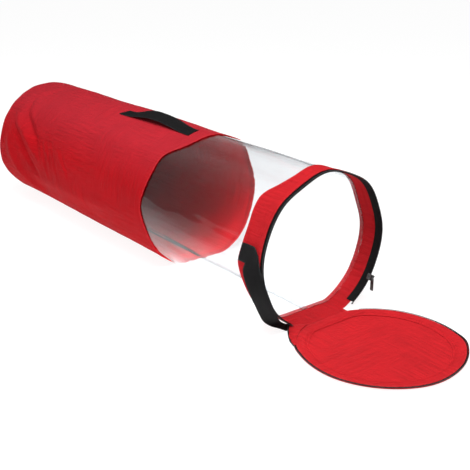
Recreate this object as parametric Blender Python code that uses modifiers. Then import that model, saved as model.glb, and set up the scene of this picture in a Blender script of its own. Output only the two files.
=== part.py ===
# Gift wrap organizer: a round fabric bag lying on its side, with a clear window, a red band
# round its mouth, a zipped round lid hinged at the bottom of the mouth, and two webbing handles.
# Metres, +Z up. The bag's axis runs along X with the mouth towards +X, and the middle of its
# flat underside is the origin. Angles round the bag start at its -Y side and pass over the top.

import math

import bmesh
import bpy
from mathutils import Matrix

# Driving sizes of the bag
OUTSIDE_DIAMETER = 0.300
BAG_LENGTH = 1.080
WINDOW_LENGTH = 0.322
BAND_LENGTH = 0.053
FLAT_DEPTH = 0.012  # how much of the round section the floor flattens
REAR_ROUNDING = 0.012
REAR_HEM = 0.004  # the sleeve's turned-in edge on the closed end
FABRIC = 0.0012
WINDOW_SHEET = 0.0010
HEM_LAP = 0.010  # the red fabric's lap over the window sheet

# Seams inside the bag
SEAM_TAPE = 0.0008
SEAM_TAPE_WIDTH = 0.012

# Zipper
TAPE = 0.0010
TAPE_LAP = 0.012  # how far the tape reaches under the fabric
TAPE_SHOW = 0.0040  # tape between the mouth's fabric and its teeth
LID_TAPE_SHOW = 0.0020  # tape between the lid's facing and its teeth
TEETH_WIDTH = 0.0024
TEETH_HEIGHT = 0.0018
TEETH_GAP = 0.0024  # between the two rows when the lid is shut, room for the slider's post
ZIP_FROM_DEGREES = -58.0
ZIP_TO_DEGREES = 238.0
STOP_DEGREES = 1.6
STOP_PROUD = 0.0005  # how far a stop stands out of the teeth

# Slider and pull
SLIDER_LENGTH = 0.012
SLIDER_PLATE = 0.0015
SLIDER_POST = 0.0014
SLIDER_WIDTH = 0.0135
SLIDER_LIFT = 0.0008  # the plate's clearance over the teeth
SLIDER_REST_DEGREES = 215.0
CROWN_WIDTH = 0.0024
CROWN_THICKNESS = 0.0013
PIVOT_HEIGHT = 0.0017  # the pull's pivot above the slider's plate
PULL_BAR = 0.0014
PULL_WIDTH = 0.0080
PULL_LENGTH = 0.0260
PULL_EYE_LENGTH = 0.0036
PULL_PLAY = 0.0005  # sideways room for the crown in the pull's eye

# Lid
LID_BORDER = 0.0230  # the facing round the lid's inner side
WELT_WIDTH = 0.0030
WELT_HEIGHT = 0.0028

# Webbing handles
WEBBING_WIDTH = 0.035
WEBBING = 0.0018
TOP_HANDLE_DEGREES = 82.0
TOP_HANDLE_LENGTH = 0.262
TOP_HANDLE_TO_WINDOW = 0.002  # from the handle's front end to the window's seam
TOP_PATCH_LENGTH = 0.036
TOP_HANDLE_RISE = 0.014
TOP_PEAK_SHARE = 0.32  # where the bow is highest, as a share of its free length
TOP_SPLIT_RISE = 0.0055  # where the swinging length of the handle starts
GRAB_UPPER_DEGREES = (13.0, -1.5)
GRAB_LOWER_DEGREES = (-50.0, -63.0)
GRAB_RISE = 0.020
GRAB_PEAK_SHARE = 0.60
GRAB_SPLIT_RISE = 0.0070
GRAB_FORWARD = 0.0075  # from the band's middle towards the mouth

# How finely things are drawn
ROUND_STEPS = 72
ROUNDING_STEPS = 3
STRAP_STEPS = 10
SEAT_STEPS = 3
STOP_STEPS = 2
SMALL_ROUND_STEPS = 8
SHARP_DEGREES = 20.0  # edges that turn further than this stay sharp

CLEARANCE = 0.0003  # between pieces that touch

# Sizes worked out from the ones above
RADIUS = OUTSIDE_DIAMETER / 2
CENTRE_HEIGHT = RADIUS - FLAT_DEPTH
REAR_X = -BAG_LENGTH / 2
FRONT_X = BAG_LENGTH / 2
BAND_X = FRONT_X - BAND_LENGTH
WINDOW_X = BAND_X - WINDOW_LENGTH
TOP_HANDLE_REAR = WINDOW_X - TOP_HANDLE_TO_WINDOW - TOP_HANDLE_LENGTH
SHEET_INSET = FABRIC + CLEARANCE
TAPE_INSET = FABRIC + CLEARANCE
TEETH_INNER = RADIUS - FABRIC
TEETH_OUTER = TEETH_INNER + TEETH_HEIGHT
TEETH_X = FRONT_X + TAPE_SHOW
TEETH_END_X = TEETH_X + TEETH_WIDTH
LID_TAPE_Z = FABRIC + CLEARANCE
LID_FACING_Z = LID_TAPE_Z + TAPE + CLEARANCE
LID_DEPTH = LID_TAPE_Z + TEETH_WIDTH
HINGE_Z = FABRIC / 2
HINGE_X = TEETH_END_X + TEETH_GAP + LID_DEPTH - HINGE_Z
LID_CENTRE_X = HINGE_X - HINGE_Z + CENTRE_HEIGHT
WEBBING_SEAT = CLEARANCE + WEBBING / 2

RED = (0.62, 0.012, 0.016)
BLACK = (0.012, 0.012, 0.014)

for old in list(bpy.data.objects):
    bpy.data.objects.remove(old, do_unlink=True)
parts = bpy.data.collections.new("gift_wrap_organizer")
bpy.context.scene.collection.children.link(parts)

ACROSS_BAG = Matrix(((0, 0, 1, 0), (1, 0, 0, 0), (0, 1, 0, 0), (0, 0, 0, 1)))
ALONG_BAG = Matrix.Rotation(math.radians(90), 4, "X")


def make_material(name, colour, roughness, metallic=0.0, alpha=1.0):
    material = bpy.data.materials.new(name)
    material.use_nodes = True
    shader = material.node_tree.nodes["Principled BSDF"]
    shader.inputs["Base Color"].default_value = (*colour, 1)
    shader.inputs["Roughness"].default_value = roughness
    shader.inputs["Metallic"].default_value = metallic
    shader.inputs["Alpha"].default_value = alpha
    return material


def make_axis(name, place):
    axis = bpy.data.objects.new(name, None)
    axis.matrix_world = place
    parts.objects.link(axis)
    bpy.context.view_layer.update()
    return axis


def add_part(name, data, place, axis=None):
    part = bpy.data.objects.new(name, data)
    parts.objects.link(part)
    part.parent = axis
    part.matrix_world = place
    bpy.context.view_layer.update()
    return part


def cut_sheet(name, outlines, thickness, place, material, axis=None):
    """A flat outline, with any holes, given a thickness about its own plane."""
    curve = bpy.data.curves.new(name, "CURVE")
    curve.dimensions = "2D"
    curve.fill_mode = "BOTH"
    curve.extrude = thickness / 2
    for outline in outlines:
        spline = curve.splines.new("POLY")
        spline.points.add(len(outline) - 1)
        for point, (u, v) in zip(spline.points, outline):
            point.co = (u, v, 0, 1)
        spline.use_cyclic_u = True
    curve.materials.append(material)
    return add_part(name, curve, place, axis)


def at_x(low, high):
    """Thickness and placing of an outline drawn in Y and Z that reaches from low to high in X."""
    return high - low, Matrix.Translation(((low + high) / 2, 0, CENTRE_HEIGHT)) @ ACROSS_BAG


def at_z(low, high):
    """Thickness and placing of a lid piece that reaches from low to high above the floor."""
    turn = Matrix.Rotation(math.radians(-90), 4, "Z")
    return high - low, Matrix.Translation((LID_CENTRE_X, 0, (low + high) / 2)) @ turn


def round_angle(share, start, end):
    return math.radians(start + (end - start) * share)


def on_ring(radius, angle):
    return -radius * math.cos(angle), radius * math.sin(angle)


def round_with_flat(radius, drop):
    """A round outline, cut straight at drop below its centre where it reaches that far."""
    if radius <= drop:
        return [on_ring(radius, round_angle(n / ROUND_STEPS, 0, 360)) for n in range(ROUND_STEPS)]
    corner = math.degrees(math.asin(drop / radius))
    shares = [step / ROUND_STEPS for step in range(ROUND_STEPS + 1)]
    return [on_ring(radius, round_angle(s, -corner, 180 + corner)) for s in shares]


def bag_section(inset):
    """The bag's section with its flat underside, drawn inset inside the outer face."""
    return round_with_flat(RADIUS - inset, CENTRE_HEIGHT - inset)


def lid_section(inset, hinge_inset=0):
    """The lid's outline about its centre: round, and straight along the hinge."""
    return round_with_flat(RADIUS - inset, CENTRE_HEIGHT - hinge_inset)


def ring_sector(inner, outer, start, end, steps):
    shares = [step / steps for step in range(steps + 1)]
    out = [on_ring(outer, round_angle(s, start, end)) for s in shares]
    back = [on_ring(inner, round_angle(s, end, start)) for s in shares]
    return out + back


def box_outline(low_u, high_u, low_v, high_v):
    return [(low_u, low_v), (high_u, low_v), (high_u, high_v), (low_u, high_v)]


def fabric_tube(name, stations, material):
    """The outer face of a tube of sheet through (x, inset) stations, from front to rear."""
    shape = bmesh.new()
    rings = []
    for x, inset in stations:
        ring = [shape.verts.new((x, y, CENTRE_HEIGHT + z)) for y, z in bag_section(inset)]
        rings.append(ring)
    for ahead, behind in zip(rings, rings[1:]):
        for j in range(len(ahead)):
            k = (j + 1) % len(ahead)
            shape.faces.new((ahead[j], ahead[k], behind[k], behind[j]))
    mesh = bpy.data.meshes.new(name)
    shape.to_mesh(mesh)
    shape.free()
    mesh.shade_smooth()
    mesh.set_sharp_from_angle(angle=math.radians(SHARP_DEGREES))
    mesh.materials.append(material)
    return add_part(name, mesh, Matrix.Identity(4))


def give_wall(part, thickness):
    wall = part.modifiers.new("wall", "SOLIDIFY")
    wall.thickness = thickness
    wall.offset = -1
    wall.use_even_offset = True


def bow(share, peak_share):
    """0 at both ends and 1 at the peak, level at all three."""
    if share < peak_share:
        return 0.5 - 0.5 * math.cos(math.pi * share / peak_share)
    return 0.5 + 0.5 * math.cos(math.pi * (share - peak_share) / (1 - peak_share))


def bow_split(rise_share, peak_share):
    """The two shares of the length at which the bow reaches rise_share of its peak."""
    turn = math.acos(1 - 2 * rise_share) / math.pi
    return peak_share * turn, 1 - (1 - peak_share) * turn


def strap_outline(points, thickness, start_cut=None, end_cut=None):
    """The side view of a strap along points. A cut is the direction of the end's face."""
    upper, lower = [], []
    for i, (u, v) in enumerate(points):
        before, after = points[max(i - 1, 0)], points[min(i + 1, len(points) - 1)]
        run = math.hypot(after[0] - before[0], after[1] - before[1])
        normal = ((before[1] - after[1]) / run, (after[0] - before[0]) / run)
        face = normal
        if i == 0 and start_cut:
            face = start_cut
        if i == len(points) - 1 and end_cut:
            face = end_cut
        reach = thickness / 2 / (face[0] * normal[0] + face[1] * normal[1])
        upper.append((u + face[0] * reach, v + face[1] * reach))
        lower.append((u - face[0] * reach, v - face[1] * reach))
    return upper + lower[::-1]


def make_sleeve(fabric):
    stations = [(WINDOW_X, 0)]
    for step in range(ROUNDING_STEPS + 1):
        turn = math.radians(90) * step / ROUNDING_STEPS
        x = REAR_X + REAR_ROUNDING * (1 - math.sin(turn))
        stations.append((x, REAR_ROUNDING * (1 - math.cos(turn))))
    stations.append((REAR_X, REAR_ROUNDING + REAR_HEM))
    give_wall(fabric_tube("rear_sleeve", stations, fabric), FABRIC)


def make_rear_end(fabric, tape):
    panel = bag_section(REAR_ROUNDING + REAR_HEM + CLEARANCE)
    cut_sheet("rear_end_panel", [panel], *at_x(REAR_X, REAR_X + FABRIC), fabric)
    low = REAR_X + FABRIC + CLEARANCE
    rings = [bag_section(REAR_ROUNDING), bag_section(REAR_ROUNDING + SEAM_TAPE_WIDTH)]
    cut_sheet("rear_seam_binding", rings, *at_x(low, low + SEAM_TAPE), tape)


def make_sleeve_seam(tape):
    low = FABRIC + CLEARANCE - CENTRE_HEIGHT
    half = SEAM_TAPE_WIDTH / 2
    outline = box_outline(-half, half, low, low + SEAM_TAPE)
    rear = REAR_X + FABRIC + 2 * CLEARANCE + SEAM_TAPE + REAR_ROUNDING
    front = WINDOW_X - HEM_LAP - CLEARANCE
    cut_sheet("sleeve_seam_binding", [outline], *at_x(rear, front), tape)


def make_window(sheet):
    stations = [(BAND_X + HEM_LAP, SHEET_INSET), (WINDOW_X - HEM_LAP, SHEET_INSET)]
    give_wall(fabric_tube("window_panel", stations, sheet), WINDOW_SHEET)
    low = SHEET_INSET + WINDOW_SHEET + CLEARANCE - CENTRE_HEIGHT
    half = SEAM_TAPE_WIDTH / 2
    outline = box_outline(-half, half, low, low + WINDOW_SHEET)
    cut_sheet("window_seam_strip", [outline], *at_x(WINDOW_X - HEM_LAP, BAND_X + HEM_LAP), sheet)


def make_mouth_band(fabric):
    stations = [(FRONT_X, 0), (BAND_X, 0)]
    give_wall(fabric_tube("mouth_band", stations, fabric), FABRIC)


def make_mouth_zip(tape, teeth, metal):
    tape_ring = ring_sector(
        RADIUS - TAPE_INSET - TAPE, RADIUS - TAPE_INSET, ZIP_FROM_DEGREES, ZIP_TO_DEGREES, ROUND_STEPS
    )
    cut_sheet("mouth_zip_tape", [tape_ring], *at_x(FRONT_X - TAPE_LAP, TEETH_END_X), tape)
    row = ring_sector(TEETH_INNER, TEETH_OUTER, ZIP_FROM_DEGREES, ZIP_TO_DEGREES, ROUND_STEPS)
    cut_sheet("mouth_zip_teeth", [row], *at_x(TEETH_X, TEETH_END_X), teeth)
    gap = math.degrees(CLEARANCE / TEETH_INNER)
    ends = {
        "zip_stop_near": (ZIP_FROM_DEGREES - gap - STOP_DEGREES, ZIP_FROM_DEGREES - gap),
        "zip_stop_far": (ZIP_TO_DEGREES + gap, ZIP_TO_DEGREES + gap + STOP_DEGREES),
    }
    for name, (start, end) in ends.items():
        stop = ring_sector(TEETH_INNER, TEETH_OUTER + STOP_PROUD, start, end, STOP_STEPS)
        cut_sheet(name, [stop], *at_x(TEETH_X, TEETH_END_X), metal)


def make_hinge_flap(fabric):
    """The fabric strip that runs from the band's underside to the lid's straight edge."""
    corner = on_ring(RADIUS, -math.asin(CENTRE_HEIGHT / RADIUS))
    half = -corner[0] - CLEARANCE
    outline = box_outline(-half, half, -CENTRE_HEIGHT, FABRIC - CENTRE_HEIGHT)
    rear = FRONT_X + CLEARANCE
    front = HINGE_X - HINGE_Z - CLEARANCE
    cut_sheet("hinge_flap", [outline], *at_x(rear, front), fabric)


def make_lid(fabric, tape, teeth):
    axis = make_axis("lid_hinge_axis", Matrix.Translation((HINGE_X, 0, HINGE_Z)))
    cut_sheet("lid_panel", [lid_section(0)], *at_z(0, FABRIC), fabric, axis)
    tape_outer = TEETH_INNER - CLEARANCE
    tape_ring = ring_sector(
        RADIUS - TAPE_LAP, tape_outer, ZIP_FROM_DEGREES, ZIP_TO_DEGREES, ROUND_STEPS
    )
    cut_sheet("lid_zip_tape", [tape_ring], *at_z(LID_TAPE_Z, LID_TAPE_Z + TAPE), tape, axis)
    row = ring_sector(TEETH_INNER, TEETH_OUTER, ZIP_FROM_DEGREES, ZIP_TO_DEGREES, ROUND_STEPS)
    cut_sheet("lid_zip_teeth", [row], *at_z(LID_TAPE_Z, LID_DEPTH), teeth, axis)
    facing_inset = RADIUS - TEETH_INNER + LID_TAPE_SHOW
    hinge_inset = FABRIC + CLEARANCE  # clear of the flap when the lid is shut
    facing = [lid_section(facing_inset, hinge_inset), lid_section(LID_BORDER)]
    cut_sheet("lid_facing", facing, *at_z(LID_FACING_Z, LID_FACING_Z + FABRIC), fabric, axis)
    welt = [lid_section(LID_BORDER + CLEARANCE), lid_section(LID_BORDER + CLEARANCE + WELT_WIDTH)]
    low = FABRIC + CLEARANCE
    cut_sheet("lid_seam_welt", welt, *at_z(low, low + WELT_HEIGHT), fabric, axis)


def turned_to(degrees, x=0.0):
    """A frame on the bag's centre line whose Z points out through the given angle."""
    turn = Matrix.Rotation(math.radians(90 - degrees), 4, "X")
    return Matrix.Translation((x, 0, CENTRE_HEIGHT)) @ turn


def make_slider(metal):
    """The slider rides on the mouth's row of teeth: a plate outside, a plate inside and a post."""
    axis = make_axis("zip_slider_axis", turned_to(SLIDER_REST_DEGREES, TEETH_END_X))
    outer = TEETH_OUTER + SLIDER_LIFT
    inner = RADIUS - TAPE_INSET - TAPE - CLEARANCE
    post_low = TEETH_END_X + (TEETH_GAP - SLIDER_POST) / 2
    post_high = post_low + SLIDER_POST
    rear = post_high - SLIDER_WIDTH + (TEETH_GAP + TEETH_WIDTH)
    front = rear + SLIDER_WIDTH
    outline = [
        (rear, outer),
        (post_low, outer),
        (post_low, inner),
        (rear, inner),
        (rear, inner - SLIDER_PLATE),
        (post_high, inner - SLIDER_PLATE),
        (post_high, outer),
        (front, outer),
        (front, outer + SLIDER_PLATE),
        (rear, outer + SLIDER_PLATE),
    ]
    place = turned_to(SLIDER_REST_DEGREES) @ ALONG_BAG
    cut_sheet("zip_slider", [outline], SLIDER_LENGTH, place, metal, axis)
    make_crown(metal, axis, outer + SLIDER_PLATE)
    make_pull(metal, outer + SLIDER_PLATE + PIVOT_HEIGHT)


def crown_sizes():
    inner = PULL_BAR / math.sqrt(2) + CLEARANCE
    return inner, inner + CROWN_THICKNESS


def pull_x():
    return TEETH_END_X + TEETH_GAP / 2


def make_crown(metal, axis, seat):
    """The arch on the slider's plate that the pull's bar hangs in."""
    inner, outer = crown_sizes()
    foot = CLEARANCE - PIVOT_HEIGHT
    steps = [math.radians(180) * step / SMALL_ROUND_STEPS for step in range(SMALL_ROUND_STEPS + 1)]
    over = [(outer * math.cos(a), outer * math.sin(a)) for a in steps]
    under = [(inner * math.cos(a), inner * math.sin(a)) for a in reversed(steps)]
    outline = [(outer, foot)] + over + [(-outer, foot), (-inner, foot)] + under + [(inner, foot)]
    pivot = Matrix.Translation((pull_x(), 0, seat + PIVOT_HEIGHT))
    place = turned_to(SLIDER_REST_DEGREES) @ pivot @ ACROSS_BAG
    cut_sheet("slider_crown", [outline], CROWN_WIDTH, place, metal, axis)


def make_pull(metal, pivot_radius):
    """The pull hangs straight down from its bar, which runs along X under the crown."""
    y, z = on_ring(pivot_radius, math.radians(SLIDER_REST_DEGREES))
    place = Matrix.Translation((pull_x(), y, CENTRE_HEIGHT + z))
    axis = make_axis("zip_pull_axis", place)
    eye_half = CROWN_WIDTH / 2 + PULL_PLAY
    bar = PULL_BAR / 2
    half = PULL_WIDTH / 2
    chamfer = PULL_BAR
    outline = [
        (-half, bar),
        (-half, chamfer - PULL_LENGTH),
        (chamfer - half, -PULL_LENGTH),
        (half - chamfer, -PULL_LENGTH),
        (half, chamfer - PULL_LENGTH),
        (half, bar),
    ]
    eye = box_outline(-eye_half, eye_half, -bar - PULL_EYE_LENGTH, -bar)
    cut_sheet("zip_pull", [outline, eye], PULL_BAR, place @ ALONG_BAG, metal, axis)


def top_handle_path(start_share, end_share, steps):
    """Points of the handle's middle line, in X and in distance from the bag's centre line."""
    rear = TOP_HANDLE_REAR + TOP_PATCH_LENGTH
    free = TOP_HANDLE_LENGTH - 2 * TOP_PATCH_LENGTH
    points = []
    for step in range(steps + 1):
        share = start_share + (end_share - start_share) * step / steps
        height = TOP_HANDLE_RISE * bow(share, TOP_PEAK_SHARE)
        points.append((rear + free * share, RADIUS + WEBBING_SEAT + height))
    return points


def make_top_handle(webbing):
    place = turned_to(TOP_HANDLE_DEGREES) @ ALONG_BAG
    rear_split, front_split = bow_split(TOP_SPLIT_RISE / TOP_HANDLE_RISE, TOP_PEAK_SHARE)
    free = TOP_HANDLE_LENGTH - 2 * TOP_PATCH_LENGTH
    half_gap = CLEARANCE / 2 / free
    seat = RADIUS + WEBBING_SEAT
    upright = (0, 1)
    rear = [(TOP_HANDLE_REAR, seat)] + top_handle_path(0, rear_split - half_gap, STRAP_STEPS)
    front = top_handle_path(front_split + half_gap, 1, STRAP_STEPS)
    front.append((TOP_HANDLE_REAR + TOP_HANDLE_LENGTH, seat))
    middle = top_handle_path(rear_split + half_gap, front_split - half_gap, 2 * STRAP_STEPS)
    outline = strap_outline(rear, WEBBING, None, upright)
    cut_sheet("top_handle_rear_end", [outline], WEBBING_WIDTH, place, webbing)
    outline = strap_outline(front, WEBBING, upright, None)
    cut_sheet("top_handle_front_end", [outline], WEBBING_WIDTH, place, webbing)
    height = RADIUS + WEBBING_SEAT + TOP_SPLIT_RISE
    axis = make_axis(
        "top_handle_axis", turned_to(TOP_HANDLE_DEGREES) @ Matrix.Translation((0, 0, height))
    )
    outline = strap_outline(middle, WEBBING, upright, upright)
    cut_sheet("top_handle_strap", [outline], WEBBING_WIDTH, place, webbing, axis)


def grab_point(share):
    start, end = GRAB_UPPER_DEGREES[1], GRAB_LOWER_DEGREES[0]
    radius = RADIUS + WEBBING_SEAT + GRAB_RISE * bow(share, GRAB_PEAK_SHARE)
    return on_ring(radius, round_angle(share, start, end))


def grab_path(start_share, end_share, steps):
    return [grab_point(start_share + (end_share - start_share) * n / steps) for n in range(steps + 1)]


def grab_seat(start, end, steps):
    radius = RADIUS + WEBBING_SEAT
    return [on_ring(radius, round_angle(n / steps, start, end)) for n in range(steps)]


def grab_x():
    return BAND_X + BAND_LENGTH / 2 + GRAB_FORWARD


def make_grab_handle(webbing):
    upper_split, lower_split = bow_split(GRAB_SPLIT_RISE / GRAB_RISE, GRAB_PEAK_SHARE)
    upper, lower = grab_point(upper_split), grab_point(lower_split)
    run = math.hypot(lower[0] - upper[0], lower[1] - upper[1])
    along = ((lower[0] - upper[0]) / run, (lower[1] - upper[1]) / run)
    face = (-along[1], along[0])
    if face[0] > 0:
        face = (along[1], -along[0])
    thickness, place = at_x(grab_x() - WEBBING_WIDTH / 2, grab_x() + WEBBING_WIDTH / 2)
    half_gap = CLEARANCE / 2

    def shifted(point, distance):
        return point[0] + along[0] * distance, point[1] + along[1] * distance

    def facing(points, cut):
        """The cut's direction on the side that the strap's own normal points to."""
        first, last = points[0], points[-1]
        turn = (first[1] - last[1]) * cut[0] + (last[0] - first[0]) * cut[1]
        return cut if turn > 0 else (-cut[0], -cut[1])

    top = grab_seat(*GRAB_UPPER_DEGREES, SEAT_STEPS) + grab_path(0, upper_split, STRAP_STEPS)
    top[-1] = shifted(top[-1], -half_gap)
    outline = strap_outline(top, WEBBING, None, facing(top, face))
    cut_sheet("grab_handle_upper_end", [outline], thickness, place, webbing)

    foot = grab_path(lower_split, 1, STRAP_STEPS)[:-1] + grab_seat(*GRAB_LOWER_DEGREES, SEAT_STEPS)
    foot[0] = shifted(foot[0], half_gap)
    foot.append(on_ring(RADIUS + WEBBING_SEAT, math.radians(GRAB_LOWER_DEGREES[1])))
    outline = strap_outline(foot, WEBBING, facing(foot, face), None)
    cut_sheet("grab_handle_lower_end", [outline], thickness, place, webbing)

    loop = grab_path(upper_split, lower_split, 2 * STRAP_STEPS)
    loop[0] = shifted(loop[0], half_gap)
    loop[-1] = shifted(loop[-1], -half_gap)
    cut = facing(loop, face)
    outline = strap_outline(loop, WEBBING, cut, cut)
    middle = ((upper[0] + lower[0]) / 2, (upper[1] + lower[1]) / 2)
    spot = Matrix.Translation((grab_x(), middle[0], CENTRE_HEIGHT + middle[1]))
    axis = make_axis("grab_handle_axis", spot)
    cut_sheet("grab_handle_strap", [outline], thickness, place, webbing, axis)


def main():
    fabric = make_material("red_fabric", RED, 0.75)
    sheet = make_material("clear_sheet", (0.9, 0.93, 0.95), 0.08, alpha=0.25)
    tape = make_material("black_tape", BLACK, 0.8)
    teeth = make_material("black_teeth", BLACK, 0.35)
    webbing = make_material("black_webbing", BLACK, 0.7)
    metal = make_material("black_metal", (0.02, 0.02, 0.022), 0.3, metallic=0.8)
    make_sleeve(fabric)
    make_rear_end(fabric, tape)
    make_sleeve_seam(tape)
    make_window(sheet)
    make_mouth_band(fabric)
    make_mouth_zip(tape, teeth, metal)
    make_hinge_flap(fabric)
    make_lid(fabric, tape, teeth)
    make_slider(metal)
    make_top_handle(webbing)
    make_grab_handle(webbing)


main()
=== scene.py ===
import math

import bmesh
import bpy
import numpy as np
from mathutils import Matrix, Vector, noise


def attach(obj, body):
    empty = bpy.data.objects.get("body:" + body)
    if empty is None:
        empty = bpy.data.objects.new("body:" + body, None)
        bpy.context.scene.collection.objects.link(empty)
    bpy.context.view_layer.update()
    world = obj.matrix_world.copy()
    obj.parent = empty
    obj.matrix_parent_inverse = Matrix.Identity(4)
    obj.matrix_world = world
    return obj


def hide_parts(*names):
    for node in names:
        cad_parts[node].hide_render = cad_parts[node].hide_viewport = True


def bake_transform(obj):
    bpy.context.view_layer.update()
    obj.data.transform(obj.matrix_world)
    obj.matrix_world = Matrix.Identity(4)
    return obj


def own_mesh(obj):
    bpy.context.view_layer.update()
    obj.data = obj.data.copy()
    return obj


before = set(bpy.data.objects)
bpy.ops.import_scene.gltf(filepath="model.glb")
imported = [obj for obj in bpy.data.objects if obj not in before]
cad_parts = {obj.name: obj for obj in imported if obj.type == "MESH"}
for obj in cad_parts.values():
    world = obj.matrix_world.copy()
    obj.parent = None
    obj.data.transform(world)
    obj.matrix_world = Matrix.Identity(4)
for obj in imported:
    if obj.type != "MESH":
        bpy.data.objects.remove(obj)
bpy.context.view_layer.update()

# The bag lies along X with its mouth towards +X. Angles round it start at the -Y side and pass
# over the top, so 90 is the top, 180 the +Y side and -90 the underside. Everything is in metres.

bag = {
    "radius": 0.150,
    "centreHeight": 0.138,
    "fabric": 0.0012,
    "sheet": 0.0010,
    "gap": 0.0003,  # between sewn layers
    "cornerSoftness": 0.003,
    "facets": [  # angle, half width in degrees, depth of the flat where the window is
        (66, 23, 0.0065),
        (22, 21, 0.0018),
        (-21, 21, 0.0022),
        (112, 23, 0.0050),
        (157, 22, 0.0042),
        (201, 22, 0.0025),
    ],
    "windowSeam": [  # angle, x of the sleeve's front edge
        (-90, 0.162), (-60, 0.162), (-31, 0.161), (-10, 0.159), (3.5, 0.152), (20, 0.158),
        (36, 0.165), (50, 0.168), (65, 0.189), (75, 0.200), (94, 0.209), (105, 0.203),
        (130, 0.180), (155, 0.163), (190, 0.160), (225, 0.163),
    ],
    "bandEdge": [  # angle, x of the mouth band's rear edge
        (-90, 0.487), (-60, 0.487), (-33, 0.486), (-11, 0.480), (-3, 0.478), (11, 0.485),
        (24, 0.488), (38, 0.484), (47, 0.483), (61, 0.494), (76, 0.503), (95, 0.500),
        (120, 0.490), (160, 0.484), (200, 0.488), (230, 0.487),
    ],
}

photoView = {
    "azimuth": 51.913,
    "elevation": 20.613,
    "distance": 2.0141,
    "target": (0.0927, 0.1452, 0.0),
    "lens": 65.22,
}

studio = {
    "floorColour": 0.20,
    "floorGlow": 0.91,
    "floorBounce": 0.72,
    "floorShine": 0.72,
    "backdrop": 1.0,
    "skyTop": 0.38,
    "skyHorizon": 0.08,
    "floorReach": 30.0,
    "floorLevel": -0.0006,
    "lights": [  # name, place, aim, size, power, seen in mirror images
        ("overheadSoftbox", (0.75, -0.45, 2.2), (0.1, 0, 0), (1.6, 1.3), 72.0, True),
        ("frontSoftbox", (1.9, -1.9, 1.5), (0.2, 0, 0.1), (1.4, 1.4), 3.0, True),
        ("sideSoftbox", (-1.75, -1.15, 0.95), (-0.3, -0.1, 0.15), (0.6, 0.6), 3.0, False),
    ],
}


# Short ways to add objects and nodes


def addObject(name, data):
    item = bpy.data.objects.new(name, data)
    bpy.context.scene.collection.objects.link(item)
    return item


def setInput(tree, socket, value):
    if isinstance(value, bpy.types.NodeSocket):
        tree.links.new(value, socket)
    elif value is not None:
        colour = socket.type == "RGBA" and len(value) == 3
        socket.default_value = (*value, 1) if colour else value


def setInputs(tree, node, inputs):
    for key, value in inputs.items():
        setInput(tree, node.inputs[key], value)


def addNode(tree, kind, inputs=None, **settings):
    # inputs are values or other nodes' outputs, by the socket's name or number
    node = tree.nodes.new(kind)
    for name, value in settings.items():
        setattr(node, name, value)
    setInputs(tree, node, inputs or {})
    return node


def mathNode(tree, operation, *values):
    return addNode(tree, "ShaderNodeMath", dict(enumerate(values)), operation=operation).outputs[0]


def vectorNode(tree, operation, inputs):
    return addNode(tree, "ShaderNodeVectorMath", inputs, operation=operation).outputs[0]


def splitNode(tree, vector):
    return addNode(tree, "ShaderNodeSeparateXYZ", {0: vector}).outputs


def blendNode(tree, share, first, second):
    return addNode(tree, "ShaderNodeMix", {"Factor": share, "A": first, "B": second}).outputs["Result"]


def mixColour(tree, share, first, second):
    inputs = {"Factor": share, 6: first, 7: second}
    return addNode(tree, "ShaderNodeMix", inputs, data_type="RGBA").outputs[2]


def noiseNode(tree, vector, scale, detail=2.0, roughness=0.5):
    inputs = {"Vector": vector, "Scale": scale, "Detail": detail, "Roughness": roughness}
    return addNode(tree, "ShaderNodeTexNoise", inputs).outputs["Fac"]


def rangeNode(tree, value, fromLow, fromHigh, toLow=0.0, toHigh=1.0):
    inputs = {"Value": value, "From Min": fromLow, "From Max": fromHigh, "To Min": toLow, "To Max": toHigh}
    return addNode(tree, "ShaderNodeMapRange", inputs).outputs["Result"]


def addBump(tree, height, distance, strength, normal=None):
    inputs = {"Height": height, "Distance": distance, "Strength": strength, "Normal": normal}
    return addNode(tree, "ShaderNodeBump", inputs).outputs["Normal"]


def newMaterial(name):
    material = bpy.data.materials.new(name)
    material.use_nodes = True
    tree = material.node_tree
    return material, tree, tree.nodes["Principled BSDF"]


# Camera, floor and lights


def aimed(item, place, direction):
    item.location = place
    item.rotation_euler = direction.to_track_quat("Z", "Y").to_euler()


def makeCamera():
    turn, tilt = math.radians(photoView["azimuth"]), math.radians(photoView["elevation"])
    back = Vector((math.sin(turn) * math.cos(tilt), -math.cos(turn) * math.cos(tilt), math.sin(tilt)))
    data = bpy.data.cameras.new("photoCamera")
    data.lens = photoView["lens"]
    data.sensor_width = 36
    camera = addObject("photoCamera", data)
    aimed(camera, Vector(photoView["target"]) + back * photoView["distance"], back)
    bpy.context.scene.camera = camera


def addSoftLight(name, place, aim, size, power, mirrored):
    data = bpy.data.lights.new(name, "AREA")
    data.shape = "RECTANGLE"
    data.size, data.size_y = size
    data.energy = power
    light = addObject(name, data)
    aimed(light, place, Vector(place) - Vector(aim))
    light.visible_glossy = light.visible_transmission = mirrored


def mixBySight(tree, unseen, seen, out):
    # what the camera sees, straight or through the window, and what only lights the bag
    path = addNode(tree, "ShaderNodeLightPath").outputs
    sight = mathNode(tree, "MAXIMUM", path["Is Camera Ray"], path["Is Transmission Ray"])
    mix = addNode(tree, "ShaderNodeMixShader", {"Fac": sight, 1: unseen.outputs[0], 2: seen.outputs[0]})
    tree.links.new(mix.outputs[0], out.inputs["Surface"])


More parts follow.
